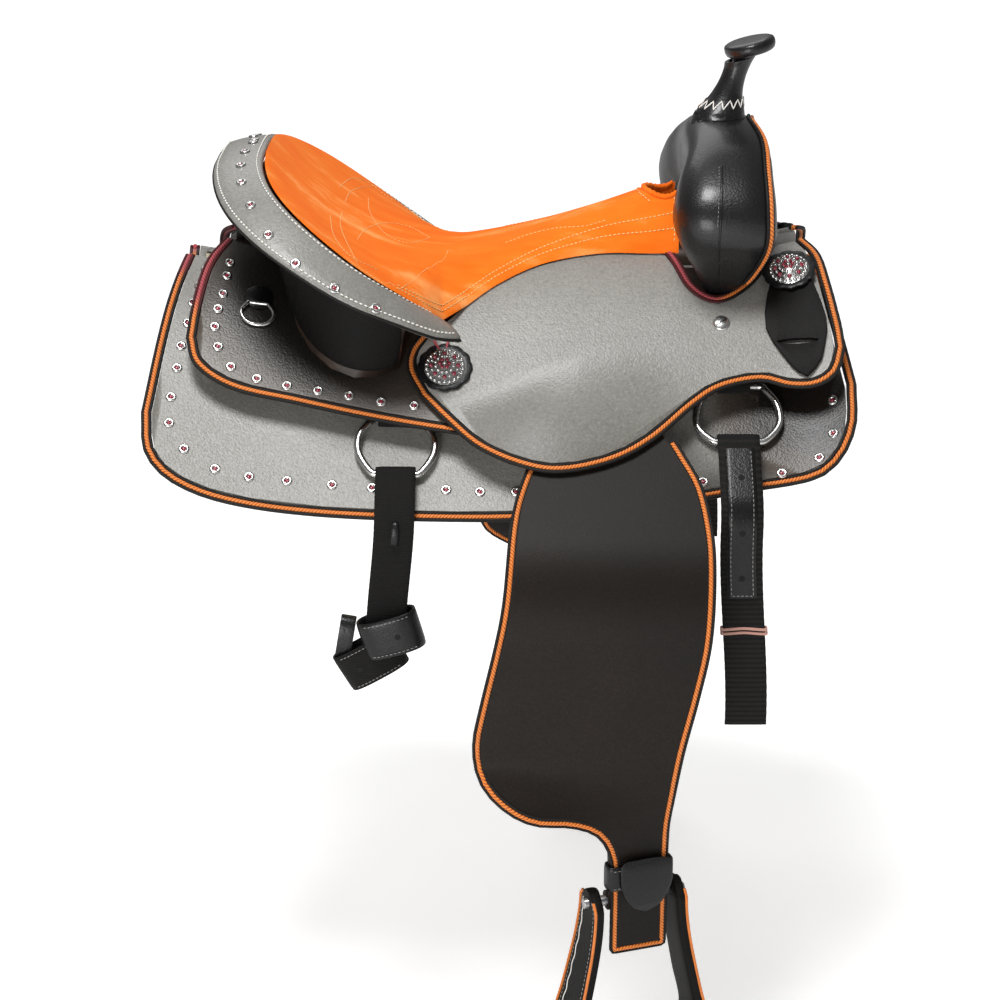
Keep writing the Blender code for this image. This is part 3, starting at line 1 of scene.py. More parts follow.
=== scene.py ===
# %% [markdown]
# # Dressing a barrel racing saddle
# The saddle's solids come from the CAD part, which fixes every size and every hinge. This notebook
# gives them what the eye looks for: suede and pebbled leather, laced edges, studs, conchos, stitching
# and webbing. Lengths are in metres, +X points to the horse's head and +Z is up. We make one side of
# each piece, and the other side is the same mesh mirrored in the centre plane.

# %% Load the frame
from math import asin, atan2, cos, pi, radians, sin, sqrt

import bmesh
import bpy
from mathutils import Matrix, Vector, noise
from mathutils.bvhtree import BVHTree


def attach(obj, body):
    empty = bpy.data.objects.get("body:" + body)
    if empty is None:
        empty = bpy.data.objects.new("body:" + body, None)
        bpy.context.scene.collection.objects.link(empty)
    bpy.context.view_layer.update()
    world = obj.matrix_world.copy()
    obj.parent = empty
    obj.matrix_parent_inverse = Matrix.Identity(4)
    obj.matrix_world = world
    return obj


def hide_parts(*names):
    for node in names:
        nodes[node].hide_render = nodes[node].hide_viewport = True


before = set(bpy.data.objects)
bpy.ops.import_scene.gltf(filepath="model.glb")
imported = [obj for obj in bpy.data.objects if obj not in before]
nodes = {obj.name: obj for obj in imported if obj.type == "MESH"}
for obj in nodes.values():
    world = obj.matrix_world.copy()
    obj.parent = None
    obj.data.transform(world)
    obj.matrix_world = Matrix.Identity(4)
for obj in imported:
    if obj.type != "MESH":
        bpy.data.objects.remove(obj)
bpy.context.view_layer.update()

# %% [markdown]
# ## Camera
# The photograph looks at the saddle's off side from a little above. A long lens 2.2 m away gives its
# mild perspective, and the point that it looks at fixes where the saddle lies in the frame.

# %% Camera
VIEW_POINT = Vector((0.0, 0.0, -0.195))
VIEW_DISTANCE = 2.2
VIEW_ELEVATION = radians(20)
camera = bpy.data.objects.new("camera", bpy.data.cameras.new("camera"))
bpy.context.scene.collection.objects.link(camera)
camera.data.sensor_width = 36.0
camera.data.lens = 79.2
back = Vector((0.0, -cos(VIEW_ELEVATION), sin(VIEW_ELEVATION)))
camera.location = VIEW_POINT + VIEW_DISTANCE * back
camera.rotation_euler = back.to_track_quat("Z", "Y").to_euler()
bpy.context.scene.camera = camera
print("camera at", [round(c, 3) for c in camera.location])

# %% [markdown]
# ## The shape of the horse's back
# All the leathers lie on one another over the horse's back, so every small thing on them is placed by
# three numbers: x along the saddle, s down its side, and h, the height off the horse. `drape` turns
# them into a point. The values are those of the CAD source.

# %% Drape
AHEAD = Vector((1.0, 0.0, 0.0))
UP = Vector((0.0, 0.0, 1.0))
OUTWARD = Vector((0.0, -1.0, 0.0))
SPINE_Z = 0.030
TOP_SLOPE = radians(15)
SIDE_SLOPE = radians(42)
CROWN_LENGTH = 0.100
CROWN_RADIUS = CROWN_LENGTH / (SIDE_SLOPE - TOP_SLOPE)


def rocker(x):
    """How far the back rises towards the loin and the withers."""
    behind = max(0.0, -0.060 - x) / 0.240
    ahead = max(0.0, x - 0.245) / 0.057
    return 0.022 * behind**2 + 0.013 * ahead**2


def slope_at(s):
    """The slope of the saddle's side at s."""
    return TOP_SLOPE + min(s, CROWN_LENGTH) / CROWN_RADIUS


def drape(x, s, h):
    """The point of the right side at x, s and h."""
    slope = slope_at(s)
    beyond = max(0.0, s - CROWN_LENGTH)
    out = CROWN_RADIUS * (sin(slope) - sin(TOP_SLOPE)) + beyond * cos(SIDE_SLOPE) + h * sin(slope)
    down = CROWN_RADIUS * (cos(TOP_SLOPE) - cos(slope)) + beyond * sin(SIDE_SLOPE) - h * cos(slope)
    return Vector((x, -out, SPINE_Z + rocker(x) - down))


def out_at(x, s):
    """The direction that points away from the horse."""
    rise = (rocker(x + 0.005) - rocker(x - 0.005)) / 0.01
    return Vector((-rise, -sin(slope_at(s)), cos(slope_at(s)))).normalized()


print("skirt's lower edge at", [round(c, 3) for c in drape(0.0, 0.279, 0.011)])

# %% [markdown]
# ## Layers
# Each leather lies on the one below it. Their heights, from the woolskin outwards, repeat the sums of
# the CAD source, so that a stud sits on its own leather. A name that ends in H is a height off the
# horse.

# %% Layers
GAP = 0.0006
SEAT_GAP = 0.0003
SKIRT_LEATHER = 0.0045
JOCKEY_LEATHER = 0.0042
KEEPER_LEATHER = 0.0038
FACING = 0.0020
STIRRUP_LEATHER_HALF = 0.0019
FENDER_HALF = 0.0020
SKIRT_H = 0.010 + 1.7 * GAP
SKIRT_TOP_H = SKIRT_H + SKIRT_LEATHER
DEE_WIRE = 0.0035
DEE_GAP = 0.0007
WEBBING = 0.0025
DEE_H = SKIRT_TOP_H + GAP + WEBBING + DEE_GAP + DEE_WIRE
STRAP_TOP_H = DEE_H + DEE_WIRE + DEE_GAP + WEBBING
LEATHER_H = STRAP_TOP_H + FACING + GAP + STIRRUP_LEATHER_HALF
FENDER_MIDDLE_H = LEATHER_H + STIRRUP_LEATHER_HALF + GAP + 2 * SEAT_GAP + FENDER_HALF
BRAID_HALF = 0.0031
SEAT_JOCKEY_H = FENDER_MIDDLE_H + 2 * BRAID_HALF + GAP - JOCKEY_LEATHER / 2
REAR_JOCKEY_H = SEAT_JOCKEY_H - 2 * BRAID_HALF - GAP
SEAT_JOCKEY_TOP_H = SEAT_JOCKEY_H + JOCKEY_LEATHER
REAR_JOCKEY_TOP_H = REAR_JOCKEY_H + JOCKEY_LEATHER
SEAT_EDGE_H = SEAT_JOCKEY_TOP_H + 0.0032
KEEPER_TOP_H = SEAT_JOCKEY_H + JOCKEY_LEATHER / 2 + BRAID_HALF + GAP + KEEPER_LEATHER
print("seat jockey's top", round(SEAT_JOCKEY_TOP_H * 1000, 1), "mm off the horse")

# %% [markdown]
# ## Colours and nodes
# Colours are written as sRGB hex, as a paint program shows them. Blender's shaders work in linear
# light, so one function turns them over. One more adds a node with its settings, its links and its
# constants, and every material is made with it.

# %% Colour and node helpers
def tint(code):
    """A linear RGBA colour from an sRGB hex value."""
    parts = [int(code[i:i + 2], 16) / 255 for i in (1, 3, 5)]
    return (*[c / 12.92 if c <= 0.04045 else ((c + 0.055) / 1.055) ** 2.4 for c in parts], 1.0)


def add_node(tree, kind, inputs=None, stops=(), **settings):
    """A node of that kind; inputs maps sockets to outputs or constants, stops are a ramp's (place, hex)."""
    node = tree.nodes.new("ShaderNode" + kind)
    for name, value in settings.items():
        if hasattr(node, name):
            setattr(node, name, value)
        else:
            node.inputs[name.replace("_", " ")].default_value = value
    for name, value in (inputs or {}).items():
        if isinstance(value, bpy.types.NodeSocket):
            tree.links.new(value, node.inputs[name])
        else:
            node.inputs[name].default_value = value
    for k in range(2, len(stops)):
        node.color_ramp.elements.new(0.5)
    for k, (place, code) in enumerate(stops):
        node.color_ramp.elements[k].position = place
        node.color_ramp.elements[k].color = tint(code)
    return node


def material(name, **settings):
    """A material with one Principled shader, returned with its tree and shader."""
    made = bpy.data.materials.new(name)
    made.use_nodes = True
    shader = made.node_tree.nodes["Principled BSDF"]
    for key, value in settings.items():
        shader.inputs[key.replace("_", " ")].default_value = value
    return made, made.node_tree, shader


print("suede orange is", [round(c, 3) for c in tint("#fb7f22")[:3]])

# %% [markdown]
# ## Pebbled leather
# The skirts, jockeys and cantle are covered in a synthetic leather embossed with fine pebbles, grey
# with a slight shine. The real pebbles are about 1 mm across, one pixel here, so they are drawn 1.8 mm
# wide to show at all. A slow noise lets the grey drift as it does on handled leather. The black and
# brown leathers are made in the same way, with a finer grain and more or less gloss.

# %% Pebbled leather
PEBBLE = 0.0018


def leather(name, stops, pebble, depth, roughness, drift=0.16, **extra):
    """Grained leather: cells for the grain, darker in their grooves, and a slow drift of tone."""
    made, tree, shader = material(name, Roughness=roughness, **extra)
    place = add_node(tree, "TexCoord").outputs["Object"]
    cells = add_node(tree, "TexVoronoi", {"Vector": place}, feature="SMOOTH_F1", Scale=1 / pebble,
                     Smoothness=0.6).outputs["Distance"]
    slow = add_node(tree, "TexNoise", {"Vector": place}, Scale=1 / drift, Detail=3.0,
                    Roughness=0.6).outputs["Fac"]
    fine = add_node(tree, "TexNoise", {"Vector": place}, Scale=0.6 / pebble, Detail=2.0).outputs["Fac"]
    tone = add_node(tree, "Mix", {0: cells, 2: slow, 3: fine}, data_type="FLOAT")
    colour = add_node(tree, "ValToRGB", {"Fac": tone.outputs[0]}, stops)
    tree.links.new(colour.outputs["Color"], shader.inputs["Base Color"])
    height = add_node(tree, "Math", {0: cells, 1: fine}, operation="SUBTRACT")
    bump = add_node(tree, "Bump", {"Height": height.outputs[0]}, Strength=depth, Distance=pebble / 3,
                    invert=True)
    tree.links.new(bump.outputs["Normal"], shader.inputs["Normal"])
    return made


grey_leather = leather(
    "pebbled_leather_grey", ((0.30, "#737169"), (0.50, "#83817c"), (0.72, "#95938d")), PEBBLE, 0.42, 0.42,
    Specular_IOR_Level=0.5, Coat_Weight=0.12, Coat_Roughness=0.35)
black_leather = leather(
    "grained_leather_black", ((0.30, "#0b0b0b"), (0.55, "#121213"), (0.75, "#1d1d1f")), 0.0016, 0.35, 0.36,
    Specular_IOR_Level=0.3, Coat_Weight=0.08, Coat_Roughness=0.25)
fender_leather = leather(
    "oiled_leather_dark_brown", ((0.30, "#120e0b"), (0.52, "#191410"), (0.75, "#2a2018")), 0.0011, 0.22, 0.5,
    drift=0.22, Specular_IOR_Level=0.18)
plain_black = leather(
    "stirrup_leather_dull_black", ((0.30, "#070605"), (0.55, "#0d0b0a"), (0.75, "#171412")), 0.0016, 0.35,
    0.6, Specular_IOR_Level=0.16)
glossy_black = leather(
    "blocked_leather_glossy_black", ((0.30, "#080808"), (0.55, "#0e0e0f"), (0.75, "#171719")), 0.0019, 0.38,
    0.42, Specular_IOR_Level=0.35, Coat_Weight=0.35, Coat_Roughness=0.2)
tree_leather = leather(
    "harness_leather_brown", ((0.30, "#1e1510"), (0.55, "#2b1d15"), (0.75, "#3d2b20")), 0.0014, 0.3, 0.6)
print("leathers:", grey_leather.name, black_leather.name, fender_leather.name, tree_leather.name)

# %% [markdown]
# ## Suede
# The seat is orange suede, the rough inner face of split leather. It has no shine of its own, and the
# nap shows as pale strokes where a hand has brushed it the other way. Stretched noise gives these
# strokes, a fine noise the nap, and a sheen the soft rim of light.

# %% Suede
suede, tree, shader = material("brushed_suede_orange", Roughness=0.95, Sheen_Weight=0.25, Sheen_Roughness=0.5,
                               Sheen_Tint=tint("#ffb070"), Specular_IOR_Level=0.15)
place = add_node(tree, "TexCoord").outputs["Object"]
turned = add_node(tree, "Mapping", {"Vector": place}, Rotation=(0.0, radians(-35), radians(20)),
                  Scale=(7.0, 26.0, 20.0))
strokes = add_node(tree, "TexNoise", {"Vector": turned.outputs[0]}, Scale=1.0, Detail=5.0, Roughness=0.62)
nap = add_node(tree, "TexNoise", {"Vector": place}, Scale=900.0, Detail=2.0).outputs["Fac"]
brushed = add_node(tree, "ValToRGB", {"Fac": strokes.outputs["Fac"]},
                   ((0.38, "#f17015"), (0.55, "#f57e21"), (0.70, "#ffab63")))
worn = add_node(tree, "Mix", {0: nap, 6: brushed.outputs["Color"], 7: tint("#ffe9d8")}, data_type="RGBA",
                blend_type="MULTIPLY")
tree.links.new(worn.outputs[2], shader.inputs["Base Color"])
bump = add_node(tree, "Bump", {"Height": nap}, Strength=0.35, Distance=0.0006)
tree.links.new(bump.outputs["Normal"], shader.inputs["Normal"])
print("suede:", suede.name)

# %% [markdown]
# ## Woolskin, wood and webbing
# Sheared wool lines the skirts, nylon webbing hangs from the front rigging, and the tree is wood in a
# dark lacquer. Webbing has ribs across it, 2.4 mm apart, from the thick threads that it is woven on.
# The front webbing's are drawn at twice that to show, and the billet's finer weave at 1.6 mm.

# %% Woolskin, wood and webbing
wool, tree, shader = material("sheared_woolskin_cream", Roughness=1.0, Sheen_Weight=0.5)
place = add_node(tree, "TexCoord").outputs["Object"]
curls = add_node(tree, "TexNoise", {"Vector": place}, Scale=260.0, Detail=4.0, Roughness=0.7).outputs["Fac"]
colour = add_node(tree, "ValToRGB", {"Fac": curls}, ((0.3, "#8d7f66"), (0.6, "#cbbd9f")))
tree.links.new(colour.outputs["Color"], shader.inputs["Base Color"])
bump = add_node(tree, "Bump", {"Height": curls}, Strength=0.9, Distance=0.002)
tree.links.new(bump.outputs["Normal"], shader.inputs["Normal"])

wood, tree, shader = material("lacquered_pine_dark", Roughness=0.45, Coat_Weight=0.3)
place = add_node(tree, "TexCoord").outputs["Object"]
along = add_node(tree, "Mapping", {"Vector": place}, Scale=(8.0, 90.0, 90.0))
grain = add_node(tree, "TexNoise", {"Vector": along.outputs[0]}, Scale=1.0, Detail=4.0)
colour = add_node(tree, "ValToRGB", {"Fac": grain.outputs["Fac"]}, ((0.35, "#241a13"), (0.65, "#3d2c20")))
tree.links.new(colour.outputs["Color"], shader.inputs["Base Color"])


def woven(name, pitch, stops):
    """Webbing whose ribs lie across its length, one every pitch."""
    made, tree, shader = material(name, Roughness=0.7, Sheen_Weight=0.05, Specular_IOR_Level=0.2)
    place = add_node(tree, "TexCoord").outputs["Object"]
    ribs = add_node(tree, "TexWave", {"Vector": place}, bands_direction="Z", Scale=pi / 10 / pitch,
                    Distortion=0.6, Detail_Scale=60.0)
    threads = add_node(tree, "TexNoise", {"Vector": place}, Scale=1400.0, Detail=2.0)
    both = add_node(tree, "Math", {0: ribs.outputs["Fac"], 1: threads.outputs["Fac"]}, operation="MULTIPLY")
    colour = add_node(tree, "ValToRGB", {"Fac": both.outputs[0]}, stops)
    tree.links.new(colour.outputs["Color"], shader.inputs["Base Color"])
    bump = add_node(tree, "Bump", {"Height": both.outputs[0]}, Strength=0.8, Distance=0.0007)
    tree.links.new(bump.outputs["Normal"], shader.inputs["Normal"])
    return made


webbing = woven("nylon_webbing_black", 0.0048, ((0.1, "#050404"), (0.7, "#211d1a")))
billet_web = woven("nylon_webbing_fine", 0.0016, ((0.1, "#050404"), (0.7, "#15120f")))
print("soft finishes:", wool.name, wood.name, webbing.name, billet_web.name)

# %% [markdown]
# ## Metal, stones and thread
# Dees, studs and conchos are plated a bright silver. The stones are cut glass in a rose red. Thread is
# waxed polyester, so it has a faint shine. The edge cords are twisted, and their grooves are painted
# darker as painted shade: each cord carries an attribute, `crest`, that is 1 on a strand's crown and 0
# in the groove, and another, `rose`, where the lacing changes from orange to rose.

# %% Metal, stones, thread and cord
def plated(name, code, roughness, scratch):
    """Plated metal with faint uneven polish."""
    made, tree, shader = material(name, Metallic=1.0, Base_Color=tint(code))
    place = add_node(tree, "TexCoord").outputs["Object"]
    marks = add_node(tree, "TexNoise", {"Vector": place}, Scale=scratch, Detail=3.0)
    spread = add_node(tree, "MapRange", {"Value": marks.outputs["Fac"]}, To_Min=roughness - 0.06,
                      To_Max=roughness + 0.08)
    tree.links.new(spread.outputs[0], shader.inputs["Roughness"])
    return made


silver = plated("silver_plate_bright", "#cfcfcd", 0.24, 700.0)
zinc = plated("zinc_plated_steel", "#b4b4b4", 0.34, 400.0)
stone = material("cut_glass_rose", Base_Color=tint("#8e1530"), Roughness=0.06, Coat_Weight=1.0,
                 Coat_Roughness=0.03)[0]
# dark for the punched holes, and painted shade on the screws' slots
dark_hole_and_slot_shade = material("punched_hole_dark_and_slot_painted_shade", Base_Color=tint("#0a0908"), Roughness=0.9)[0]
rubber = material("rubber_band_tan", Base_Color=tint("#b98a7c"), Roughness=0.5)[0]


def thread(name, code):
    """Waxed thread with a fine twist."""
    made, tree, shader = material(name, Roughness=0.55, Sheen_Weight=0.2)
    place = add_node(tree, "TexCoord").outputs["Object"]
    twist = add_node(tree, "TexNoise", {"Vector": place}, Scale=1800.0, Detail=1.0)
    light = tint(code)
    dark = (*[c * 0.72 for c in light[:3]], 1.0)
    mixed = add_node(tree, "Mix", {0: twist.outputs["Fac"], 6: dark, 7: light}, data_type="RGBA")
    tree.links.new(mixed.outputs[2], shader.inputs["Base Color"])
    return made


white_thread = thread("waxed_thread_white", "#f2efe8")
gold_thread = thread("waxed_thread_gold", "#f6c878")
grey_thread = thread("waxed_thread_grey", "#8b8a86")


def twisted_cord(name, groove_shade, crown, rose_crown, sheen, shine):
    """Twisted polyester cord, with painted shade in the grooves between its strands."""
    made, tree, shader = material(name, Roughness=0.62, Sheen_Weight=sheen, Specular_IOR_Level=shine)
    crest = add_node(tree, "Attribute", attribute_name="crest").outputs["Fac"]
    rose = add_node(tree, "Attribute", attribute_name="rose").outputs["Fac"]
    # painted shade: both ramps are dark where crest is low, in the grooves between the strands
    plain = add_node(tree, "ValToRGB", {"Fac": crest}, ((0.05, groove_shade), (0.65, crown)))
    changed = add_node(tree, "ValToRGB", {"Fac": crest}, ((0.05, "#5a1a20"), (0.65, rose_crown)))
    mixed = add_node(tree, "Mix", {0: rose, 6: plain.outputs["Color"], 7: changed.outputs["Color"]},
                     data_type="RGBA")
    tree.links.new(mixed.outputs[2], shader.inputs["Base Color"])
    return made


orange_cord = twisted_cord("twisted_cord_orange", "#8a3a08", "#ee8428", "#b8444c", 0.2, 0.5)
black_cord = twisted_cord("twisted_cord_black", "#060505", "#1d1a18", "#3d1719", 0.0, 0.25)
print("cords:", orange_cord.name, black_cord.name)

# %% [markdown]
# ## Making pieces
# A finished piece is a mesh at the origin that rides on one of the CAD bodies. Each side's body has
# the side in its name, apart from the saddle itself, which carries what never moves. Long shapes are
# grids that we roll up along a path, so that their faces follow it.

# %% Piece helpers
SLOTS = (
    ("orange_suede", (suede, gold_thread)),
    ("grey_pebbled_leather", (grey_leather,)),
    ("black_leather", (black_leather, plain_black, glossy_black, billet_web, grey_thread, white_thread,
                       dark_hole_and_slot_shade)),
    ("dark_oiled_leather", (fender_leather,)),
    ("brown_tree_leather", (tree_leather,)),
    ("woolskin", (wool,)),
    ("tree_wood", (wood,)),
    ("braided_lace", (orange_cord, black_cord)),
    ("nylon_webbing", (webbing, rubber)),
    ("silver_plate", (silver, stone)),
    ("zinc_steel", (zinc,)))
SLOT_OF = {look: slot for slot, looks in SLOTS for look in looks}


def loose_object(name, bm):
    """An object of a bmesh, which is used up."""
    mesh = bpy.data.meshes.new(name)
    bm.to_mesh(mesh)
    bm.free()
    made = bpy.data.objects.new(name, mesh)
    bpy.context.scene.collection.objects.link(made)
    return made


def piece(name, bm, look, body="saddle", angle=180, replaces=(), slot=None):
    """A finished piece: shaded, sharp past the angle and riding on a body; slot is not used."""
    made = loose_object(name, bm)
    made.data.materials.append(look)
    made.data.shade_smooth()
    made.data.set_sharp_from_angle(angle=radians(angle))
    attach(made, body)
    slot or SLOT_OF[look]
    if replaces:
        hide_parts(*replaces)
    return made


def moved(bm, *matrices):
    """The bmesh after each of the matrices in turn."""
    for matrix in matrices:
        bmesh.ops.transform(bm, matrix=matrix, verts=bm.verts)
    return bm


def scaled(x, y, z):
    """A matrix that stretches along the three axes."""
    return Matrix.Diagonal((x, y, z, 1.0))


def ball(around, rings):
    """A unit ball."""
    bm = bmesh.new()
    bmesh.ops.create_uvsphere(bm, u_segments=around, v_segments=rings, radius=1.0)
    return bm


def pair(name, build, look, body="saddle", angle=180, replaces=(), slot=None):
    """The piece on the right side as build() makes it, and its mirror image on the left side."""
    for side in ("right", "left"):
        bm = build()
        if side == "left":
            moved(bm, scaled(1.0, -1.0, 1.0))
            bmesh.ops.reverse_faces(bm, faces=bm.faces)
        rides = body if body == "saddle" else body + "_" + side
        piece(name + "_" + side, bm, look, rides, angle, [node + "_" + side for node in replaces], slot)


def spline(controls, spans):
    """A smooth curve through flat or spatial controls, with points at even lengths."""
    points = [Vector(c).to_3d() for c in controls]
    ends = [2 * points[0] - points[1], *points, 2 * points[-1] - points[-2]]
    fine = []
    for k in range(len(points) - 1):
        a, b, c, d = ends[k:k + 4]
        for i in range(8):
            t = i / 8
            cubic = (3 * b - a - 3 * c + d) * t**3 + (2 * a - 5 * b + 4 * c - d) * t**2 + (c - a) * t + 2 * b
            fine.append(0.5 * cubic)
    return even([*fine, points[-1]], spans)


def even(points, spans):
    """The same path with its points at even lengths."""
    lengths = [0.0]
    for a, b in zip(points, points[1:]):
        lengths.append(lengths[-1] + (b - a).length)
    made = []
    k = 0
    for i in range(spans + 1):
        want = lengths[-1] * i / spans
        while k < len(points) - 2 and lengths[k + 1] < want:
            k += 1
        step = lengths[k + 1] - lengths[k]
        made.append(points[k].lerp(points[k + 1], (want - lengths[k]) / step if step else 0.0))
    return made


def length_of(points):
    """How long a path is."""
    return sum((b - a).length for a, b in zip(points, points[1:]))


def neighbours(points, k):
    """The way from the point before the k-th to the one after it, on an open path."""
    return points[min(k + 1, len(points) - 1)] - points[max(k - 1, 0)]


def squared(angle, power):
    """A point of the unit circle at an angle, swelled towards a square."""
    scale = (abs(cos(angle)) ** power + abs(sin(angle)) ** power) ** (-1 / power)
    return cos(angle) * scale, sin(angle) * scale


def grid(columns, rows, place):
    """A grid whose points place(i, j) puts where they belong."""
    bm = bmesh.new()
    bmesh.ops.create_grid(bm, x_segments=columns, y_segments=rows, size=0.5)
    for vert in bm.verts:
        vert.co = place(round((vert.co.x + 0.5) * columns), round((vert.co.y + 0.5) * rows))
    return bm


def close_up(bm):
    """Joins a rolled-up grid's seam, caps its open ends and points its faces outwards."""
    bmesh.ops.remove_doubles(bm, verts=bm.verts, dist=1e-6)
    rims = [edge for edge in bm.edges if edge.is_boundary]
    if rims:
        bmesh.ops.holes_fill(bm, edges=rims, sides=0)
    bmesh.ops.recalc_face_normals(bm, faces=bm.faces)
    if bm.calc_volume(signed=True) < 0:
        bmesh.ops.reverse_faces(bm, faces=bm.faces)
    return bm


print("helpers ready")

# %% [markdown]
# ## Laced edges
# Every panel is bound with a cord of three strands: a thick orange one between two black ones, each
# twisted. A round tube would look like wire, so each strand is a tube with three lobes that wind round
# it as it goes. We roll a grid into that tube, and keep how high each point stands on its lobe.

# %% Twisted cords
CORD_STEP = 0.0010
ORANGE_RADIUS = 0.0023
ORANGE_LAY = 0.0096
BLACK_RADIUS = 0.0017
BLACK_LAY = 0.0069
BLACK_OFFSET = 0.0033


def frames(points, outs, closed=False):
    """The sideways direction at each point, square to the path and to outs."""
    total = len(points)
    ways = [points[(k + 1) % total] - points[k - 1] if closed else neighbours(points, k)
            for k in range(total)]
    return [way.cross(out).normalized() for way, out in zip(ways, outs)]


def rope(points, outs, radius, lay, shift=0.0, count=8, flat=1.0, sides=None):
    """A strand of three lobes beside the path; lay is the length of a full turn of its lobes."""
    sides = sides or frames(points, outs)
    step = length_of(points) / (len(points) - 1)
    crests = {}

    def place(i, j):
        angle = 2 * pi * i / count
        crest = 0.5 + 0.5 * cos(3 * (angle - 2 * pi * j * step / lay))
        size = radius * (0.80 + 0.20 * crest)
        point = points[j] + sides[j] * (shift + size * cos(angle)) + outs[j] * (flat * size * sin(angle))
        crests[point.copy().freeze()] = crest
        return point

    bm = grid(count, len(points) - 1, place)
    layer = bm.verts.layers.float.new("crest")
    for vert in bm.verts:
        vert[layer] = crests.get(vert.co.copy().freeze(), 0.5)
    return close_up(bm)


def merge(*parts):
    """Several bmeshes as one."""
    whole = bmesh.new()
    whole.verts.layers.float.new("crest")
    whole.verts.layers.float.new("rose")
    for part in parts:
        mesh = bpy.data.meshes.new("part")
        part.to_mesh(mesh)
        part.free()
        whole.from_mesh(mesh)
        bpy.data.meshes.remove(mesh)
    return whole


def flat_path(runs, place, start=None):
    """The points of a panel's edge, and the outward direction at each, at the cords' own step."""
    flat = []
    for run in runs:
        points = spline(run, 60)
        flat.extend(points if not flat else points[1:])
    if start is not None:
        flat = [p for p in flat if p.y > start]
    fine = even(flat, max(8, round(length_of(flat) / CORD_STEP)))
    points = [place(p.x, p.y, 0.0) for p in fine]
    outs = [(place(p.x, p.y, 0.002) - place(p.x, p.y, -0.002)).normalized() for p in fine]
    return points, outs


def rose_where(bm, test):
    """Turns the lacing rose where test(point) says so, with a soft change."""
    layer = bm.verts.layers.float["rose"]
    for vert in bm.verts:
        vert[layer] = test(vert.co)
    return bm


def borders(points, outs, radius, offset, lay, flat=1.0, sides=None):
    """The two black strands beside the orange one, wound against each other."""
    return merge(*[rope(points, outs, radius, -way * lay, way * offset, flat=flat, sides=sides)
                   for way in (1, -1)])


def edging(name, runs, place, body, node, rose=lambda point: 0.0, start=None):
    """The laced edge of a panel: the orange strand, and the black ones on both sides of it."""
    points, outs = flat_path(runs, place, start)
    lift = [p + o * 0.0002 for p, o in zip(points, outs)]
    sides = frames(points, outs)

    def middle_strand():
        """The orange strand, rose where the test says so."""
        strand = rope(lift, outs, ORANGE_RADIUS, ORANGE_LAY, count=10, flat=1.18, sides=sides)
        return rose_where(merge(strand), rose)

    pair(name + "_orange", middle_strand, orange_cord, body, replaces=[node])
    pair(name + "_black",
         lambda: rose_where(borders(points, outs, BLACK_RADIUS, BLACK_OFFSET, BLACK_LAY, flat=1.25), rose),
         black_cord, body)
    print(name, "laced over", round(length_of(points), 2), "m")


def level(h):
    """Places flat points at a height off the horse."""
    return lambda x, s, lift: drape(x, s, h + lift)


SKIRT_EDGE = (
    ((-0.295, 0.014), (-0.310, 0.109), (-0.320, 0.200)),
    ((-0.320, 0.200), (-0.314, 0.240), (-0.285, 0.265), (-0.223, 0.277), (-0.089, 0.279), (0.018, 0.279),
     (0.1304, 0.2673), (0.2437, 0.2461), (0.2936, 0.2400), (0.3164, 0.2117), (0.3204, 0.1671)),
    ((0.3204, 0.1671), (0.3125, 0.1077), (0.298, 0.010)))
REAR_JOCKEY_EDGE = (
    ((-0.256, 0.0157), (-0.2702, 0.049), (-0.2783, 0.0925), (-0.2813, 0.1286)),
    ((-0.2813, 0.1286), (-0.2723, 0.1545), (-0.2394, 0.1725), (-0.1805, 0.1805), (-0.1097, 0.1925),
     (-0.0359, 0.2055)))
SEAT_JOCKEY_EDGE = (
    ((-0.0639, 0.104), (-0.0779, 0.125), (-0.0799, 0.146), (-0.0679, 0.172)),
    ((-0.0679, 0.172), (-0.045, 0.1979), (-0.018, 0.2239), (0.018, 0.2419), (0.053, 0.2483),
     (0.0981, 0.238), (0.1343, 0.2166), (0.1716, 0.1816), (0.1989, 0.1624), (0.2365, 0.1541),
     (0.2626, 0.1623), (0.2855, 0.1665), (0.3013, 0.1603), (0.3082, 0.1401)),
    ((0.3082, 0.1401), (0.3063, 0.1128), (0.3006, 0.0724), (0.2951, 0.0378), (0.284, 0.012)))


def step_between(value, low, high):
    """0 below low, 1 above high and a smooth step between."""
    share = min(1.0, max(0.0, (value - low) / (high - low)))
    return share * share * (3 - 2 * share)


def rear_rose(point):
    """The rear jockey's lacing turns rose behind the cantle, near the top."""
    return step_between(point.z, 0.024, 0.046) if point.x < -0.2 else 0.0


def corner_rose(point):
    """The skirt's lacing is rose only at its top corner."""
    return step_between(point.z, 0.044, 0.056) if point.x < -0.2 else 0.0


edging("skirt_lacing", SKIRT_EDGE, level(SKIRT_H + SKIRT_LEATHER / 2), "saddle", "skirt_trim", corner_rose)
edging("rear_jockey_lacing", REAR_JOCKEY_EDGE, level(REAR_JOCKEY_H + JOCKEY_LEATHER / 2), "saddle",
       "rear_jockey_trim", rear_rose)
edging("seat_jockey_lacing", SEAT_JOCKEY_EDGE, level(SEAT_JOCKEY_H + JOCKEY_LEATHER / 2), "saddle",
       "seat_jockey_trim")

# %% [markdown]
# ## Round the fork's foot
# The seat jockey is cut out where the fork stands on the tree, and the same lacing follows the cut.
# Towards the seat it is rose coloured.

# %% Lacing of the cut-out
CUT_EDGE = (((0.1560, 0.0190), (0.1649, 0.0370), (0.1779, 0.0645), (0.2011, 0.0765), (0.2298, 0.0605),
             (0.2526, 0.0290)),)


def cut_rose(point):
    """Rose from the seat to below the fork's seam, orange after it."""
    return 1.0 - step_between(point.x, 0.195, 0.215)


def cut_path(lift):
    """The cut-out's path and outward directions, at a height over the jockey's top."""
    return flat_path(CUT_EDGE, level(SEAT_JOCKEY_TOP_H + lift))


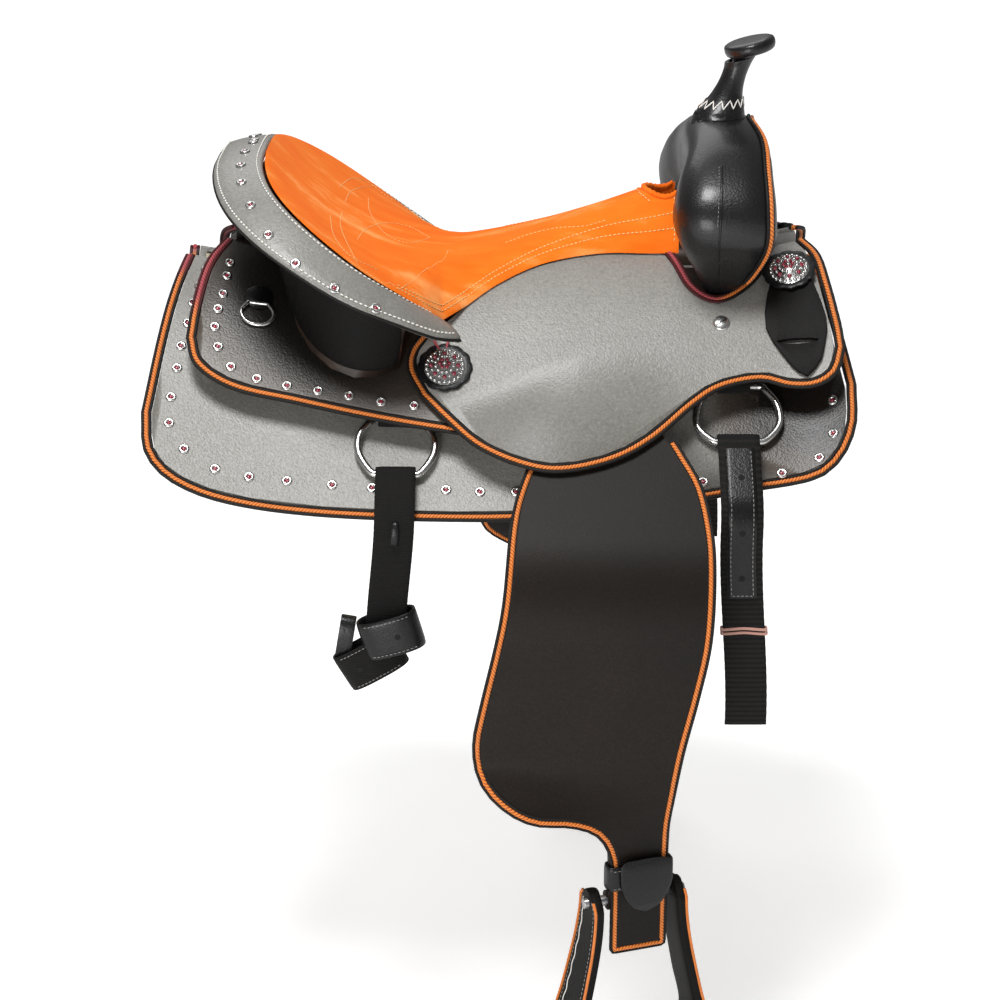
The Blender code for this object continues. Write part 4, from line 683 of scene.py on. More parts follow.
pair("fork_cut_lacing",
     lambda: rose_where(merge(rope(*cut_path(0.0016), 0.0021, ORANGE_LAY, count=10)), cut_rose), orange_cord)
pair("fork_cut_borders", lambda: rose_where(borders(*cut_path(0.0013), 0.0016, 0.0031, BLACK_LAY), cut_rose),
     black_cord)
print("cut-out laced over", round(length_of(cut_path(0.0)[0]), 2), "m")

# %% [markdown]
# ## Plain solids from the CAD
# The big leathers keep their CAD shape. Their meshes come in as loose triangles, so a copy is joined
# and its finish goes on; the keepers, stirrup leathers, bolts and dee tabs also get a small bevel on their
# sharp rims, as a skived edge has.

# %% CAD pieces
SHARP = 38


def cad_mesh(node):
    """A CAD node's loose triangles, joined into one surface."""
    bm = bmesh.new()
    bm.from_mesh(nodes[node].data)
    bmesh.ops.remove_doubles(bm, verts=bm.verts, dist=1e-5)
    bmesh.ops.recalc_face_normals(bm, faces=bm.faces)
    return bm


def cad_piece(node, look, body="saddle", bevel=0.0):
    """A joined copy of a CAD node, in its place, its sharp rims bevelled when a bevel is given."""
    bm = cad_mesh(node)
    if bevel:
        bmesh.ops.dissolve_limit(bm, angle_limit=radians(1), verts=bm.verts, edges=bm.edges)
        rims = [e for e in bm.edges if len(e.link_faces) == 2 and e.calc_face_angle() > radians(SHARP)]
        bmesh.ops.bevel(bm, geom=rims, offset=bevel, offset_type="OFFSET", affect="EDGES", segments=2,
                        profile=0.5, material=-1, clamp_overlap=True)
    piece(node + "_dressed", bm, look, body, SHARP, [node])


for side in ("right", "left"):
    for node in ("skirt", "rear_jockey", "seat_jockey"):
        cad_piece(node + "_" + side, grey_leather)
    cad_piece("latigo_keeper_" + side, plain_black, bevel=0.0007)
    cad_piece("tree_bar_" + side, wood)
    cad_piece("stirrup_leather_" + side, tree_leather, "fender_" + side, bevel=0.0006)
    cad_piece("stirrup_bolt_" + side, zinc, "stirrup_" + side, bevel=0.0006)
    for node in ("front_dee_tab", "rear_dee_tab"):
        cad_piece(node + "_" + side, billet_web, bevel=0.0005)
for node in ("tree_fork", "tree_cantle"):
    cad_piece(node, wood)
cad_piece("ground_seat", tree_leather)
cad_piece("horn_post", zinc)
print("CAD pieces dressed")

# %% [markdown]
# The leather on the cantle's back ends below in a cut edge with coarse corners. We divide it twice and
# smooth the points near that edge, which rounds it to one curve.

# %% Cantle back
BACK_SMOOTH_Z = 0.055


def rounded_back():
    """The leather on the cantle's back, its lower edge smoothed to one curve."""
    bm = cad_mesh("cantle_back")
    for turn in range(2):
        bmesh.ops.subdivide_edges(bm, edges=bm.edges, cuts=1, use_grid_fill=True)
    bmesh.ops.triangulate(bm, faces=[f for f in bm.faces if len(f.verts) > 4])
    low = [v for v in bm.verts if v.co.z < BACK_SMOOTH_Z]
    for turn in range(16):
        bmesh.ops.smooth_vert(bm, verts=low, factor=0.5, use_axis_x=True, use_axis_y=True, use_axis_z=True)
    return bm


piece("cantle_back_dressed", rounded_back(), plain_black, angle=SHARP, replaces=["cantle_back"])
print("cantle's back rounded below", BACK_SMOOTH_Z)

# %% [markdown]
# ## Looking through the photograph's pixels
# Stitched curves and studs are easiest to read off the picture. A ray from the camera through a pixel
# finds the place on the finished surface, and the surface's own normal stands the stud up.

# %% Places by pixel
def surface_of(made):
    """A search tree of a piece's surface."""
    bm = bmesh.new()
    bm.from_mesh(made.data)
    found = BVHTree.FromBMesh(bm)
    bm.free()
    return found


def seen(surface, u, v):
    """The point and normal of a surface behind a pixel, or nearest to its ray where the ray just misses."""
    half = 0.5 * camera.data.sensor_width / camera.data.lens
    ray = Vector(((u - 500) / 500 * half, (500 - v) / 500 * half, -1.0))
    ray.rotate(camera.rotation_euler)
    ray.normalize()
    point, normal, index, distance = surface.ray_cast(camera.location, ray)
    if point is None:
        steps = [surface.find_nearest(camera.location + ray * (1.7 + 0.01 * k)) for k in range(90)]
        point, normal, index, distance = min(steps, key=lambda found: found[3])
    if normal.dot(ray) > 0:
        normal = -normal
    return point, normal


def basis(point, up, forward):
    """A matrix that stands at point, its Z along up and its X near forward."""
    up = up.normalized()
    side = up.cross(forward).normalized()
    return Matrix.Translation(point) @ Matrix((side.cross(up), side, up)).transposed().to_4x4()


def stand(x, s, h, turn=0.0):
    """A matrix at a place on the saddle, its Z away from the horse and its X towards the head."""
    return basis(drape(x, s, h), out_at(x, s), AHEAD) @ Matrix.Rotation(turn, 4, "Z")


def lathe(profile, steps, wave=None):
    """A turned shape about Z from (radius, height) pairs; wave(angle) may scallop its radius."""
    def place(i, j):
        radius, height = profile[j]
        angle = 2 * pi * i / steps
        scale = wave(angle, radius) if wave else 1.0
        return Vector((radius * scale * cos(angle), radius * scale * sin(angle), height))

    return close_up(grid(steps, len(profile) - 1, place))


def scatter(template, places):
    """Copies of a small shape at each of the matrices."""
    small = bpy.data.meshes.new("small")
    template.to_mesh(small)
    template.free()
    whole = bmesh.new()
    for place in places:
        copy = small.copy()
        copy.transform(place)
        whole.from_mesh(copy)
        bpy.data.meshes.remove(copy)
    bpy.data.meshes.remove(small)
    return whole


def stitch_row(points, outs, pitch, length, radius):
    """A row of stitches along a path: short threads, rounded at both ends."""
    fine = even(points, max(2, round(length_of(points) / pitch)))
    places = []
    for i in range(len(fine) - 1):
        share = i / (len(fine) - 1) * (len(outs) - 1)
        up = outs[min(len(outs) - 1, round(share))]
        places.append(basis(fine[i].lerp(fine[i + 1], 0.5) + up * radius * 0.35, up, fine[i + 1] - fine[i]))
    lying = Matrix.Rotation(pi / 2, 4, "Y")
    return scatter(moved(ball(6, 4), lying, scaled(length / 2, radius, radius)), places)


def sweep(points, sides, outs, section, count, closed=False):
    """A tube along a path; section(turn, k) gives its sideways and outward offsets."""
    total = len(points)

    def place(i, j):
        k = j % total
        across, out = section(2 * pi * (i % count) / count, k)
        return points[k] + sides[k] * across + outs[k] * out

    return close_up(grid(count, total if closed else total - 1, place))


def oval(across, out):
    """The section of a cord, round or flattened, from its half width and half thickness."""
    return lambda turn, k: (across * cos(turn), out * sin(turn))


def oblong(width, thickness, power=6, edge=lambda k: 1.0):
    """The section of a strap with rounded corners; edge(k) may make its width uneven."""
    def section(turn, k):
        across, out = squared(turn, power)
        return width / 2 * across * edge(k), thickness / 2 * out

    return section


def normals(surface, points):
    """The surface's normals nearest to some points."""
    return [surface.find_nearest(p)[1] for p in points]


print("rays start at", [round(c, 3) for c in camera.location])

# %% [markdown]
# ## Painted shade on the grey leather
# Below the cantle and under the front concho the grey leather is painted nearly black, as painted shade
# for the shadow that falls there. We darken a copy of the grey round a line on each panel: an object
# coordinate, stretched along the line, tells how far a point is from it.

# %% Painted shade
def paint_shade(name, panel, start, end, reach):
    """The grey leather darkened with painted shade round a line that is read off the picture, on both sides'
    panels.
    """
    surface = surface_of(bpy.data.objects[panel + "_right_dressed"])
    made = grey_leather.copy()
    made.name = name
    tree = made.node_tree
    first, last = seen(surface, *start)[0], seen(surface, *end)[0]
    along = last - first
    place = add_node(tree, "TexCoord").outputs["Object"]
    inside = add_node(tree, "Mapping", {"Vector": place}, vector_type="TEXTURE", Location=(first + last) / 2,
                      Rotation=(0.0, -atan2(along.z, along.x), 0.0),
                      Scale=(along.length / 2 + reach, 1000.0, reach))
    far = add_node(tree, "VectorMath", {0: inside.outputs[0]}, operation="LENGTH")
    # painted shade: the ramp darkens the grey close to the line and fades out further away
    shade_ramp = add_node(tree, "ValToRGB", {"Fac": far.outputs["Value"]},
                      ((0.42, "#332a25"), (0.75, "#a1948b"), (1.0, "#ffffff")))
    shader = tree.nodes["Principled BSDF"]
    plain = shader.inputs["Base Color"].links[0].from_socket
    mixed = add_node(tree, "Mix", {0: 1.0, 6: plain, 7: shade_ramp.outputs["Color"]}, data_type="RGBA",
                     blend_type="MULTIPLY")
    tree.links.new(mixed.outputs[2], shader.inputs["Base Color"])
    for side in ("right", "left"):
        bpy.data.objects[panel + "_" + side + "_dressed"].data.materials[0] = made
    print(made.name, "goes on both panels named", panel)


# painted shade on the rear jockey, below the cantle's band
paint_shade("pebbled_leather_grey_painted_shade_rear", "rear_jockey", (240, 268), (400, 355), 0.092)
# painted shade at the skirt's front, under the seat jockey's overhang
paint_shade("pebbled_leather_grey_painted_shade_front", "skirt", (775, 400), (850, 385), 0.075)

# %% [markdown]
# ## The seat
# The padded suede seat is stretched over foam from the fork to the cantle's ridge. We lay one row of
# points across for each step along its border, raise the middle to the seat's dip and close it below
# as a cushion. Its rim is rolled in, as suede is turned under before it is sewn down.

# %% Seat shape
CANTLE_RIDGE = ((-0.216, 0.000, 0.166), (-0.215, 0.072, 0.159), (-0.200, 0.126, 0.144),
                (-0.168, 0.160, 0.119), (-0.122, 0.172, 0.084), (-0.076, 0.156, 0.050),
                (-0.050, 0.129, 0.025))
SEAT_EDGE = ((0.168, 0.026), (0.141, 0.026), (0.094, 0.026), (0.042, 0.038), (0.0, 0.060), (-0.030, 0.082))
SEAT_FRONT_X = 0.168
SEAT_LOW_X = -0.040
SEAT_LOW_Z = 0.071
SEAT_ROWS = 150
SEAT_COLUMNS = 84
RIDGE_SPANS = 192
RIDGE = spline([*[(x, -y, z) for x, y, z in reversed(CANTLE_RIDGE[1:])], *CANTLE_RIDGE], RIDGE_SPANS)
RIDGE_TOP = RIDGE[RIDGE_SPANS // 2]


def ridge(t):
    """A place on the cantle's ridge, from its right tip at -1 to its left tip at 1."""
    where = min(max((t + 1) / 2, 0.0), 1.0) * RIDGE_SPANS
    k = min(int(where), RIDGE_SPANS - 1)
    return RIDGE[k].lerp(RIDGE[k + 1], where - k)


def seat_middle(x):
    """The seat's height along its middle: the dip, the rise to the fork and the dish of the cantle."""
    if x > SEAT_LOW_X:
        return SEAT_LOW_Z + 0.062 * ((x - SEAT_LOW_X) / (SEAT_FRONT_X - SEAT_LOW_X)) ** 1.3
    share = (SEAT_LOW_X - x) / (SEAT_LOW_X - RIDGE_TOP.x)
    return SEAT_LOW_Z + (RIDGE_TOP.z - 0.001 - SEAT_LOW_Z) * share**2.3


seat_lower = [drape(p.x, p.y, SEAT_EDGE_H) for p in spline(SEAT_EDGE, 40)]
seat_border = even([*seat_lower, *[ridge(-1.0 + 0.97 * k / 64) for k in range(1, 65)]], SEAT_ROWS)
RIM_DROP = 0.0015
RIM_WIDTH = 0.006


def rolled(distance):
    """How far the rim has turned down at a distance from its edge."""
    share = min(1.0, max(0.0, distance / RIM_WIDTH))
    return RIM_DROP * (1 - sqrt(1 - (1 - share) ** 2))


def seat_point(row, t, below=False):
    """A point of the seat's top, or of its underside, in a row across, t from -1 to 1."""
    edge = seat_border[row]
    middle = seat_middle(edge.x)
    crown = 1 - abs(t) ** (2.6 if middle > edge.z else 2.0)
    z = edge.z + (middle - edge.z) * crown
    turned_in = rolled((1 - abs(t)) * abs(edge.y))
    if below:
        share = row / SEAT_ROWS
        foam = 0.003 + 0.007 * (1 - t * t) * min(1.0, 3 * (1 - share))
        return Vector((edge.x, -edge.y * t, z - 0.003 - foam * (1 - abs(t) ** 6) + turned_in))
    return Vector((edge.x, -edge.y * t, z - turned_in))


def seat_place(i, j):
    """The seat's points in rings: over the top, and back below."""
    if i < SEAT_COLUMNS:
        return seat_point(j, sin(pi / 2 * (2 * i / SEAT_COLUMNS - 1)))
    return seat_point(j, sin(pi / 2 * (1 - 2 * (i - SEAT_COLUMNS) / SEAT_COLUMNS)), below=True)


def seat_top(x, y):
    """The height of the seat's top at a place."""
    for row in range(SEAT_ROWS):
        if seat_border[row + 1].x <= x <= seat_border[row].x:
            return seat_point(row, min(1.0, abs(y / seat_border[row].y))).z
    return RIDGE_TOP.z


seat_bm = close_up(grid(2 * SEAT_COLUMNS, SEAT_ROWS, seat_place))
print("seat grid:", len(seat_bm.verts), "points, volume", round(seat_bm.calc_volume() * 1000, 3), "litres")

# %% [markdown]
# The hand hole between the seat and the fork is cut with a cylinder, and a roll of suede curls round
# its rim. On the real seat the cover is pulled down into the hole over a rounded edge.

# %% Hand hole and seat
HOLE_X = SEAT_FRONT_X - 0.008
HOLE_RADIUS = 0.023
cutter_bm = bmesh.new()
bmesh.ops.create_cone(cutter_bm, cap_ends=True, segments=48, radius1=HOLE_RADIUS, radius2=HOLE_RADIUS,
                      depth=0.12)
bmesh.ops.translate(cutter_bm, vec=(HOLE_X, 0.0, 0.120), verts=cutter_bm.verts)
seat_form = loose_object("seat_form", seat_bm)
cutter = loose_object("hole", cutter_bm)
cut = seat_form.modifiers.new("hand_hole", "BOOLEAN")
cut.operation = "DIFFERENCE"
cut.solver = "EXACT"
cut.object = cutter
bpy.context.view_layer.update()
cut_mesh = bpy.data.meshes.new_from_object(seat_form.evaluated_get(bpy.context.evaluated_depsgraph_get()))
seat_bm = bmesh.new()
seat_bm.from_mesh(cut_mesh)
for extra in (seat_form, cutter):
    bpy.data.objects.remove(extra)
seat = piece("seat", seat_bm, suede, angle=60, replaces=["seat_cover", "seat_foam"])
seat_surface = surface_of(seat)


def round_hole(radius, start, span, steps, lift=0.0):
    """Points on the seat round the hand hole, from an angle over a span in degrees."""
    points = []
    for k in range(steps + 1):
        angle = radians(start) + radians(span) * k / steps
        x = HOLE_X + radius * cos(angle)
        y = radius * sin(angle)
        points.append(Vector((x, y, seat_top(x, y) + lift)))
    return points


rim_points = round_hole(HOLE_RADIUS + 0.0004, 76, 208, 60, -0.0004)
up = [UP] * len(rim_points)
piece("hand_hole_roll", sweep(rim_points, frames(rim_points, up), up, oval(0.0026, 0.0026), 12), suede)
print("seat:", len(seat.data.polygons), "faces")

# %% [markdown]
# ## Stitching on the seat
# Two rows of pale gold thread run along the seat's lower edge, one inside its front edge and an arc
# behind the hand hole. The scrolls on the flank and the dish are our own curves in the western manner.

# %% Seat stitching
SEAT_STITCH = (0.0042, 0.0033, 0.00068)
SCROLL_STITCH = (0.0042, 0.0033, 0.00045)


def seat_line(inset, first, last):
    """A line on the seat that keeps its distance from the edge."""
    points = []
    for row in range(first, last):
        t = max(0.0, 1 - inset / max(abs(seat_border[row].y), 0.02))
        points.append(seat_point(row, t))
    return points


def scroll(pixels):
    """A smooth curve through pixels, on the seat."""
    found = [seen(seat_surface, p.x, p.y) for p in spline(pixels, 40)]
    return [p for p, n in found], [n for p, n in found]


def sewn(name, line):
    """Gold stitches along a line on the seat, on both sides."""
    pair(name, lambda: stitch_row(line, normals(seat_surface, line), *SEAT_STITCH), gold_thread)


sewn("seat_edge_stitches_low", seat_line(0.0065, 1, 82))
sewn("seat_edge_stitches_high", seat_line(0.0120, 1, 82))
sewn("seat_front_stitches", [seat_point(1, 0.94 - 0.45 * k / 12) for k in range(13)])
arc = round_hole(0.0300, 128, 104, 40)
piece("hand_hole_stitches", stitch_row(arc, normals(seat_surface, arc), *SEAT_STITCH), gold_thread)
SCROLLS = (((345, 202), (353, 190), (380, 187), (410, 200), (434, 218), (450, 232)),
           ((357, 240), (366, 229), (386, 223), (410, 227), (430, 238)),
           ((330, 215), (334, 236), (350, 256), (378, 270)),
           ((505, 243), (530, 234), (556, 228), (584, 226), (606, 220)))
for k, pixels in enumerate(SCROLLS):
    pair(f"seat_scroll_{k + 1}", lambda: stitch_row(*scroll(pixels), *SCROLL_STITCH), gold_thread)
print("seat stitched")

# %% [markdown]
# ## The cantle's band
# A padded band of the grey leather goes over the cantle's ridge. It is stitched in white along both
# of its edges and bound below with a thin black cord. Studs follow it on both sides.

# %% Cantle band
ROLL_WIDTH = 0.046
ROLL_HALF = 0.0065
ROLL_SPANS = 120


def roll_frame(t):
    """The band's middle, its directions across and up, and its width, at a place on the ridge."""
    top = ridge(t)
    along = ridge(t + 0.01) - ridge(t - 0.01)
    out = Vector((-along.y, along.x, 0.0)).normalized()
    droop = radians(10 + 20 * abs(out.y))
    width = ROLL_WIDTH * (0.35 + 0.65 * sqrt(max(0.0, 1 - abs(t) ** 12)))
    lean = Vector((out.x * cos(droop), out.y * cos(droop), -sin(droop)))
    lift = Vector((-out.y, out.x, 0.0)).cross(lean).normalized()
    if lift.z < 0:
        lift = -lift
    return top + lean * (width / 2 + 0.0028) - lift * 0.004, lean, lift, width


def roll_point(t, across):
    """A point on the band's top, across from -1 at its inner edge to 1 at its outer edge."""
    centre, lean, lift, width = roll_frame(t)
    return centre + lean * (width / 2 * across) + lift * (ROLL_HALF * (1 - abs(across) ** 2.6) ** (1 / 2.6))


middles, leans, lifts, widths = zip(*[roll_frame(0.93 * (2 * k / ROLL_SPANS - 1))
                                      for k in range(ROLL_SPANS + 1)])


def roll_section(turn, k):
    """A flattened oval, with a slight pinch where the white stitching pulls it in."""
    across, out = squared(turn, 2.6)
    pinch = 0.0008 * max(0.0, 1 - abs(abs(across) - 0.80) / 0.10)
    return widths[k] / 2 * across, (ROLL_HALF - pinch) * out


cantle_band = piece("cantle_band", sweep(middles, leans, lifts, roll_section, 40), grey_leather,
                    replaces=["cantle_roll"])
band_surface = surface_of(cantle_band)
for name, across in (("cantle_stitches_inner", -0.80), ("cantle_stitches_outer", 0.80)):
    line = [roll_point(0.915 * (2 * k / 160 - 1), across) for k in range(161)]
    piece(name, stitch_row(line, normals(band_surface, line), 0.0046, 0.0035, 0.00085), white_thread,
          slot="grey_pebbled_leather")
edge_path = even([middle + lean * width / 2 for middle, lean, width in zip(middles, leans, widths)], 700)
piece("cantle_edge_cord", rope(edge_path, [UP] * len(edge_path), BLACK_RADIUS, BLACK_LAY), black_cord)
print("band round the cantle:", round(length_of(middles), 3), "m")

# %% [markdown]
# ## Studs
# The studs are silver eyelets with a rose glass in the middle. We turn one eyelet and scatter copies
# of it at the places that the photograph shows, those of the cantle by pixel.

# %% Studs
def eyelet():
    """A stud's silver rim, a half round section turned about its axis."""
    arc = [pi * (1 - k / 5) for k in range(6)]
    rim = [(0.0034 + 0.0016 * cos(angle), 0.0002 + 0.0015 * sin(angle)) for angle in arc]
    return lathe([(0.0012, 0.0004), *rim, (0.0012, -0.0004)], 18)


def studs(name, places):
    """Studs at each of the matrices, and their mirror images."""
    glass_spot = Matrix.Translation((0.0, 0.0, 0.0006)) @ scaled(0.0019, 0.0019, 0.0011)
    pair(name, lambda: scatter(eyelet(), places), silver, angle=60)
    pair(name + "_glass", lambda: scatter(moved(ball(12, 6), glass_spot), places), stone)


SKIRT_STUDS = (
    (-0.2779, 0.0343), (-0.2818, 0.0569), (-0.2860, 0.0776), (-0.2889, 0.0995), (-0.2935, 0.1254),
    (-0.2955, 0.1495), (-0.2988, 0.1810), (-0.2987, 0.2082), (-0.2837, 0.2323), (-0.2551, 0.2478),
    (-0.2246, 0.2515), (-0.1908, 0.2514), (-0.1505, 0.2519), (-0.1147, 0.2528), (-0.0484, 0.2536),
    (-0.0179, 0.2557), (0.0143, 0.2557), (0.1823, 0.2455), (0.2537, 0.2370), (0.2874, 0.2283),
    (0.3012, 0.2090), (0.3027, 0.1752))
JOCKEY_STUDS = (
    (-0.2519, 0.0473), (-0.2533, 0.0621), (-0.2553, 0.0809), (-0.2587, 0.0957), (-0.2603, 0.1146),
    (-0.2563, 0.1354), (-0.2435, 0.1546), (-0.2196, 0.1638), (-0.1924, 0.1678), (-0.1644, 0.1702),
    (-0.1363, 0.1733), (-0.1073, 0.1781), (-0.0775, 0.1814))
CANTLE_STUDS = ((253, 142.6), (245, 152), (240.8, 165.3), (241.5, 182.6), (250.5, 205.5), (268.3, 235.2),
                (295.3, 263.9), (334.3, 288.4), (375.6, 308.6))
STUD_LIFT = 0.0002
studs("skirt_studs", [stand(x, s, SKIRT_TOP_H + STUD_LIFT) for x, s in SKIRT_STUDS])
studs("jockey_studs", [stand(x, s, REAR_JOCKEY_TOP_H + STUD_LIFT) for x, s in JOCKEY_STUDS])
found = [seen(band_surface, u, v) for u, v in CANTLE_STUDS]
studs("cantle_studs", [basis(p + n * STUD_LIFT, n, AHEAD) for p, n in found])
print("studs on each side:", len(SKIRT_STUDS) + len(JOCKEY_STUDS) + len(CANTLE_STUDS))

# %% [markdown]
# ## Conchos and screws
# A concho is a ring of silver berry beads round more glass, on a rosette of black leather that is cut
# in twelve scallops. We turn the round parts and scatter the beads on a dome.

# %% Conchos
CONCHO_RINGS = (("bead", 0.0165, 22, 0.0020, 0.0030), ("glass", 0.0123, 8, 0.0021, 0.0052),
                ("bead", 0.0123, 8, 0.0015, 0.0055), ("bead", 0.0083, 12, 0.0018, 0.0072),
                ("glass", 0.0042, 6, 0.0019, 0.0084), ("bead", 0.0, 1, 0.0020, 0.0092))


def beads(kind):
    """The silver beads, or the glasses, of one concho as a single shape."""
    places = []
    for which, radius, count, size, height in CONCHO_RINGS:
        if which != kind:
            continue
        for k in range(count):
            angle = 2 * pi * (k + (0.5 if which == "bead" else 0.0)) / count
            spot = Matrix.Translation((radius * cos(angle), radius * sin(angle), height))
            places.append(spot @ scaled(size, size, size))
    return scatter(ball(12, 8), places)


def concho_plate():
    """The domed silver plate that carries the beads."""
    return lathe(((0.0, 0.0085), (0.006, 0.0080), (0.011, 0.0058), (0.0155, 0.0028), (0.0188, 0.0020),
                  (0.0190, 0.0010), (0.0, 0.0008)), 48)


def rosette():
    """The black leather below it, cut in twelve scallops, with a slight dish."""
    def scallop(angle, radius):
        return 1.0 + (0.055 * abs(cos(6 * angle)) - 0.03 if radius > 0.02 else 0.0)

    return lathe(((0.0, 0.0022), (0.0190, 0.0019), (0.0235, 0.0024), (0.0247, 0.0016), (0.0244, 0.0004),
                  (0.0225, 0.0), (0.0, 0.0)), 96, scallop)


def concho(name, spot):
    """A concho on each side; spot is the matrix of the right one."""
    pair(name + "_rosette", lambda: moved(rosette(), spot), black_leather, angle=60)
    pair(name, lambda: moved(concho_plate(), spot), silver, angle=40, replaces=[name])
    pair(name + "_beads", lambda: moved(beads("bead"), spot), silver)
    pair(name + "_glass", lambda: moved(beads("glass"), spot), stone)


concho("concho_front", stand(0.268, 0.0539, KEEPER_TOP_H + 0.0016))
concho("concho_mid", stand(-0.050, 0.146, SEAT_JOCKEY_TOP_H + GAP))


def small_rosette():
    """The plain leather rosette behind the small dee, with ten shallow scallops."""
    def scallop(angle, radius):
        return 1.0 + (0.05 * abs(cos(5 * angle)) if radius > 0.0115 else 0.0)

    return lathe(((0.0, 0.0016), (0.012, 0.0016), (0.013, 0.0008), (0.012, 0.0), (0.0, 0.0)), 48, scallop)


def screw(radius):
    """A domed silver screw."""
    return lathe(((0.0, 0.0022), (0.4 * radius, 0.0021), (0.8 * radius, 0.0014), (radius, 0.0004),
                  (radius, 0.0), (0.0, 0.0)), 28)


def screw_slot(radius):
    """The slot across a screw's head, a thin box painted dark as painted shade in its groove."""
    bm = bmesh.new()
    bmesh.ops.create_cube(bm, size=1.0)
    return moved(bm, scaled(1.5 * radius, 0.0011, 0.0006))


SCREW_RADIUS = 0.008
SCREW_PLACE = (0.203, 0.0977)
screw_spot = stand(*SCREW_PLACE, SEAT_JOCKEY_TOP_H)
slot_spot = stand(*SCREW_PLACE, SEAT_JOCKEY_TOP_H + 0.0021, radians(35))
corner_spot = stand(-0.0566, 0.1012, SEAT_JOCKEY_TOP_H + 0.0005)
string_spot = stand(-0.2224, 0.0800, REAR_JOCKEY_TOP_H + 0.0001)
pair("string_rosette", lambda: moved(small_rosette(), string_spot), black_leather, angle=60)
pair("jockey_screw", lambda: moved(screw(SCREW_RADIUS), screw_spot), silver, angle=60)
# painted shade: the screw's slot is a dark box where shade falls in its groove
pair("jockey_screw_slot", lambda: moved(screw_slot(SCREW_RADIUS), slot_spot), dark_hole_and_slot_shade, angle=50,
     slot="silver_plate")
pair("corner_screw", lambda: moved(screw(0.0052), corner_spot), silver, angle=60)


def corner_lace():
    """The two ends of rose lace that run from the corner's screw to the concho."""
    strands = []
    for start, end, bend in (((-0.0580, 0.1050), (-0.0540, 0.1290), -0.004),
                             ((-0.0545, 0.1050), (-0.0490, 0.1270), 0.004)):
        middle = ((start[0] + end[0]) / 2 + bend, (start[1] + end[1]) / 2)
        flat = spline((start, middle, end), 40)
        heights = [SEAT_JOCKEY_TOP_H + 0.0014 + 0.0015 * sin(pi * k / 40) for k in range(41)]
        points = [drape(p.x, p.y, h) for p, h in zip(flat, heights)]
        strands.append(rope(points, [out_at(p.x, p.y) for p in flat], 0.0013, BLACK_LAY))
    return rose_where(merge(*strands), lambda point: 1.0)


pair("corner_lace", corner_lace, orange_cord)
print("conchos and screws placed")

# %% [markdown]
# ## Rigging rings
# The dees are bent from thick plated wire and welded. The CAD has them in a few facets, so we sweep
# the same outline finely.

# %% Dees
def ring_wire(controls, wire, h):
    """A closed wire ring, bent to its outline and straight at its base."""
    body = spline(controls, 72)
    base = [body[-1].lerp(body[0], k / 9) for k in range(1, 9)]
    flat = [*body, *base]
    points = [drape(p.x, p.y, h) for p in flat]
    outs = [out_at(p.x, p.y) for p in flat]
    sides = frames(points, outs, closed=True)
    return sweep(points, sides, outs, oval(wire, wire), 20, closed=True)


FRONT_DEE = ((0.193, 0.150), (0.1803, 0.1700), (0.1788, 0.1920), (0.192, 0.2070), (0.203, 0.2076),
             (0.228, 0.2076), (0.240, 0.2066), (0.2535, 0.1900), (0.2517, 0.1680), (0.2397, 0.150))
REAR_DEE = ((-0.116, 0.186), (-0.127, 0.203), (-0.127, 0.222), (-0.1155, 0.2405), (-0.106, 0.2415),
            (-0.081, 0.2415), (-0.0715, 0.2405), (-0.060, 0.222), (-0.060, 0.203), (-0.071, 0.186))
STRING_DEE = ((-0.2314, 0.0867), (-0.2374, 0.0955), (-0.2324, 0.1047), (-0.2224, 0.1077), (-0.2125, 0.1047),
              (-0.2075, 0.0955), (-0.2134, 0.0867))
STRING_WIRE = 0.0018
STRING_H = REAR_JOCKEY_TOP_H + STRING_WIRE + GAP
for name, outline, wire, h in (("front_dee", FRONT_DEE, DEE_WIRE, DEE_H),
                               ("rear_dee", REAR_DEE, DEE_WIRE, DEE_H),
                               ("string_dee", STRING_DEE, STRING_WIRE, STRING_H)):
    pair(name, lambda: ring_wire(outline, wire, h), silver, name, replaces=[name])
print("dees swept")

# %% [markdown]
# ## The fork
# Black leather is blocked wet over the carved fork. Its section changes from a broad foot to a slim
# neck, and we loft the same stations as the CAD, only closer together. A seam runs down the side.

# %% Fork cover
FORK_STATIONS = (
    (0.0870, 0.0375, 0.0640, 0.0510, 0.190, 0.218), (0.1080, 0.0630, 0.0660, 0.0640, 0.179, 0.238),
    (0.1370, 0.0960, 0.0660, 0.0800, 0.166, 0.250), (0.1380, 0.1300, 0.0560, 0.0980, 0.158, 0.251),
    (0.1100, 0.1600, 0.0400, 0.1100, 0.162, 0.250), (0.0630, 0.1820, 0.0200, 0.1170, 0.171, 0.250),
    (0.0000, 0.1910, 0.0000, 0.1190, 0.172, 0.244))
FORK_SPANS = 96
FORK_LEATHER = 0.003


def blend_stations(values, where):
    """Six numbers of the fork's section at a place along it, smoothly between the stations."""
    total = len(values) - 1
    k = min(int(where), total - 1)
    t = where - k
    a = values[k - 1] if k else [2 * p - q for p, q in zip(values[0], values[1])]
    b, c = values[k], values[k + 1]
    d = values[k + 2] if k + 2 <= total else [2 * p - q for p, q in zip(values[-1], values[-2])]
    return [0.5 * (2 * q + (r - p) * t + (2 * p - 5 * q + 4 * r - s) * t**2 + (3 * q - p - 3 * r + s) * t**3)
            for p, q, r, s in zip(a, b, c, d)]


right_half = [(-y, z, -iy, iz, x0, x1) for y, z, iy, iz, x0, x1 in FORK_STATIONS]
fork_line = [*right_half, *FORK_STATIONS[-2::-1]]
last_station = len(fork_line) - 1
fork_sections = [blend_stations(fork_line, last_station * k / FORK_SPANS) for k in range(FORK_SPANS + 1)]


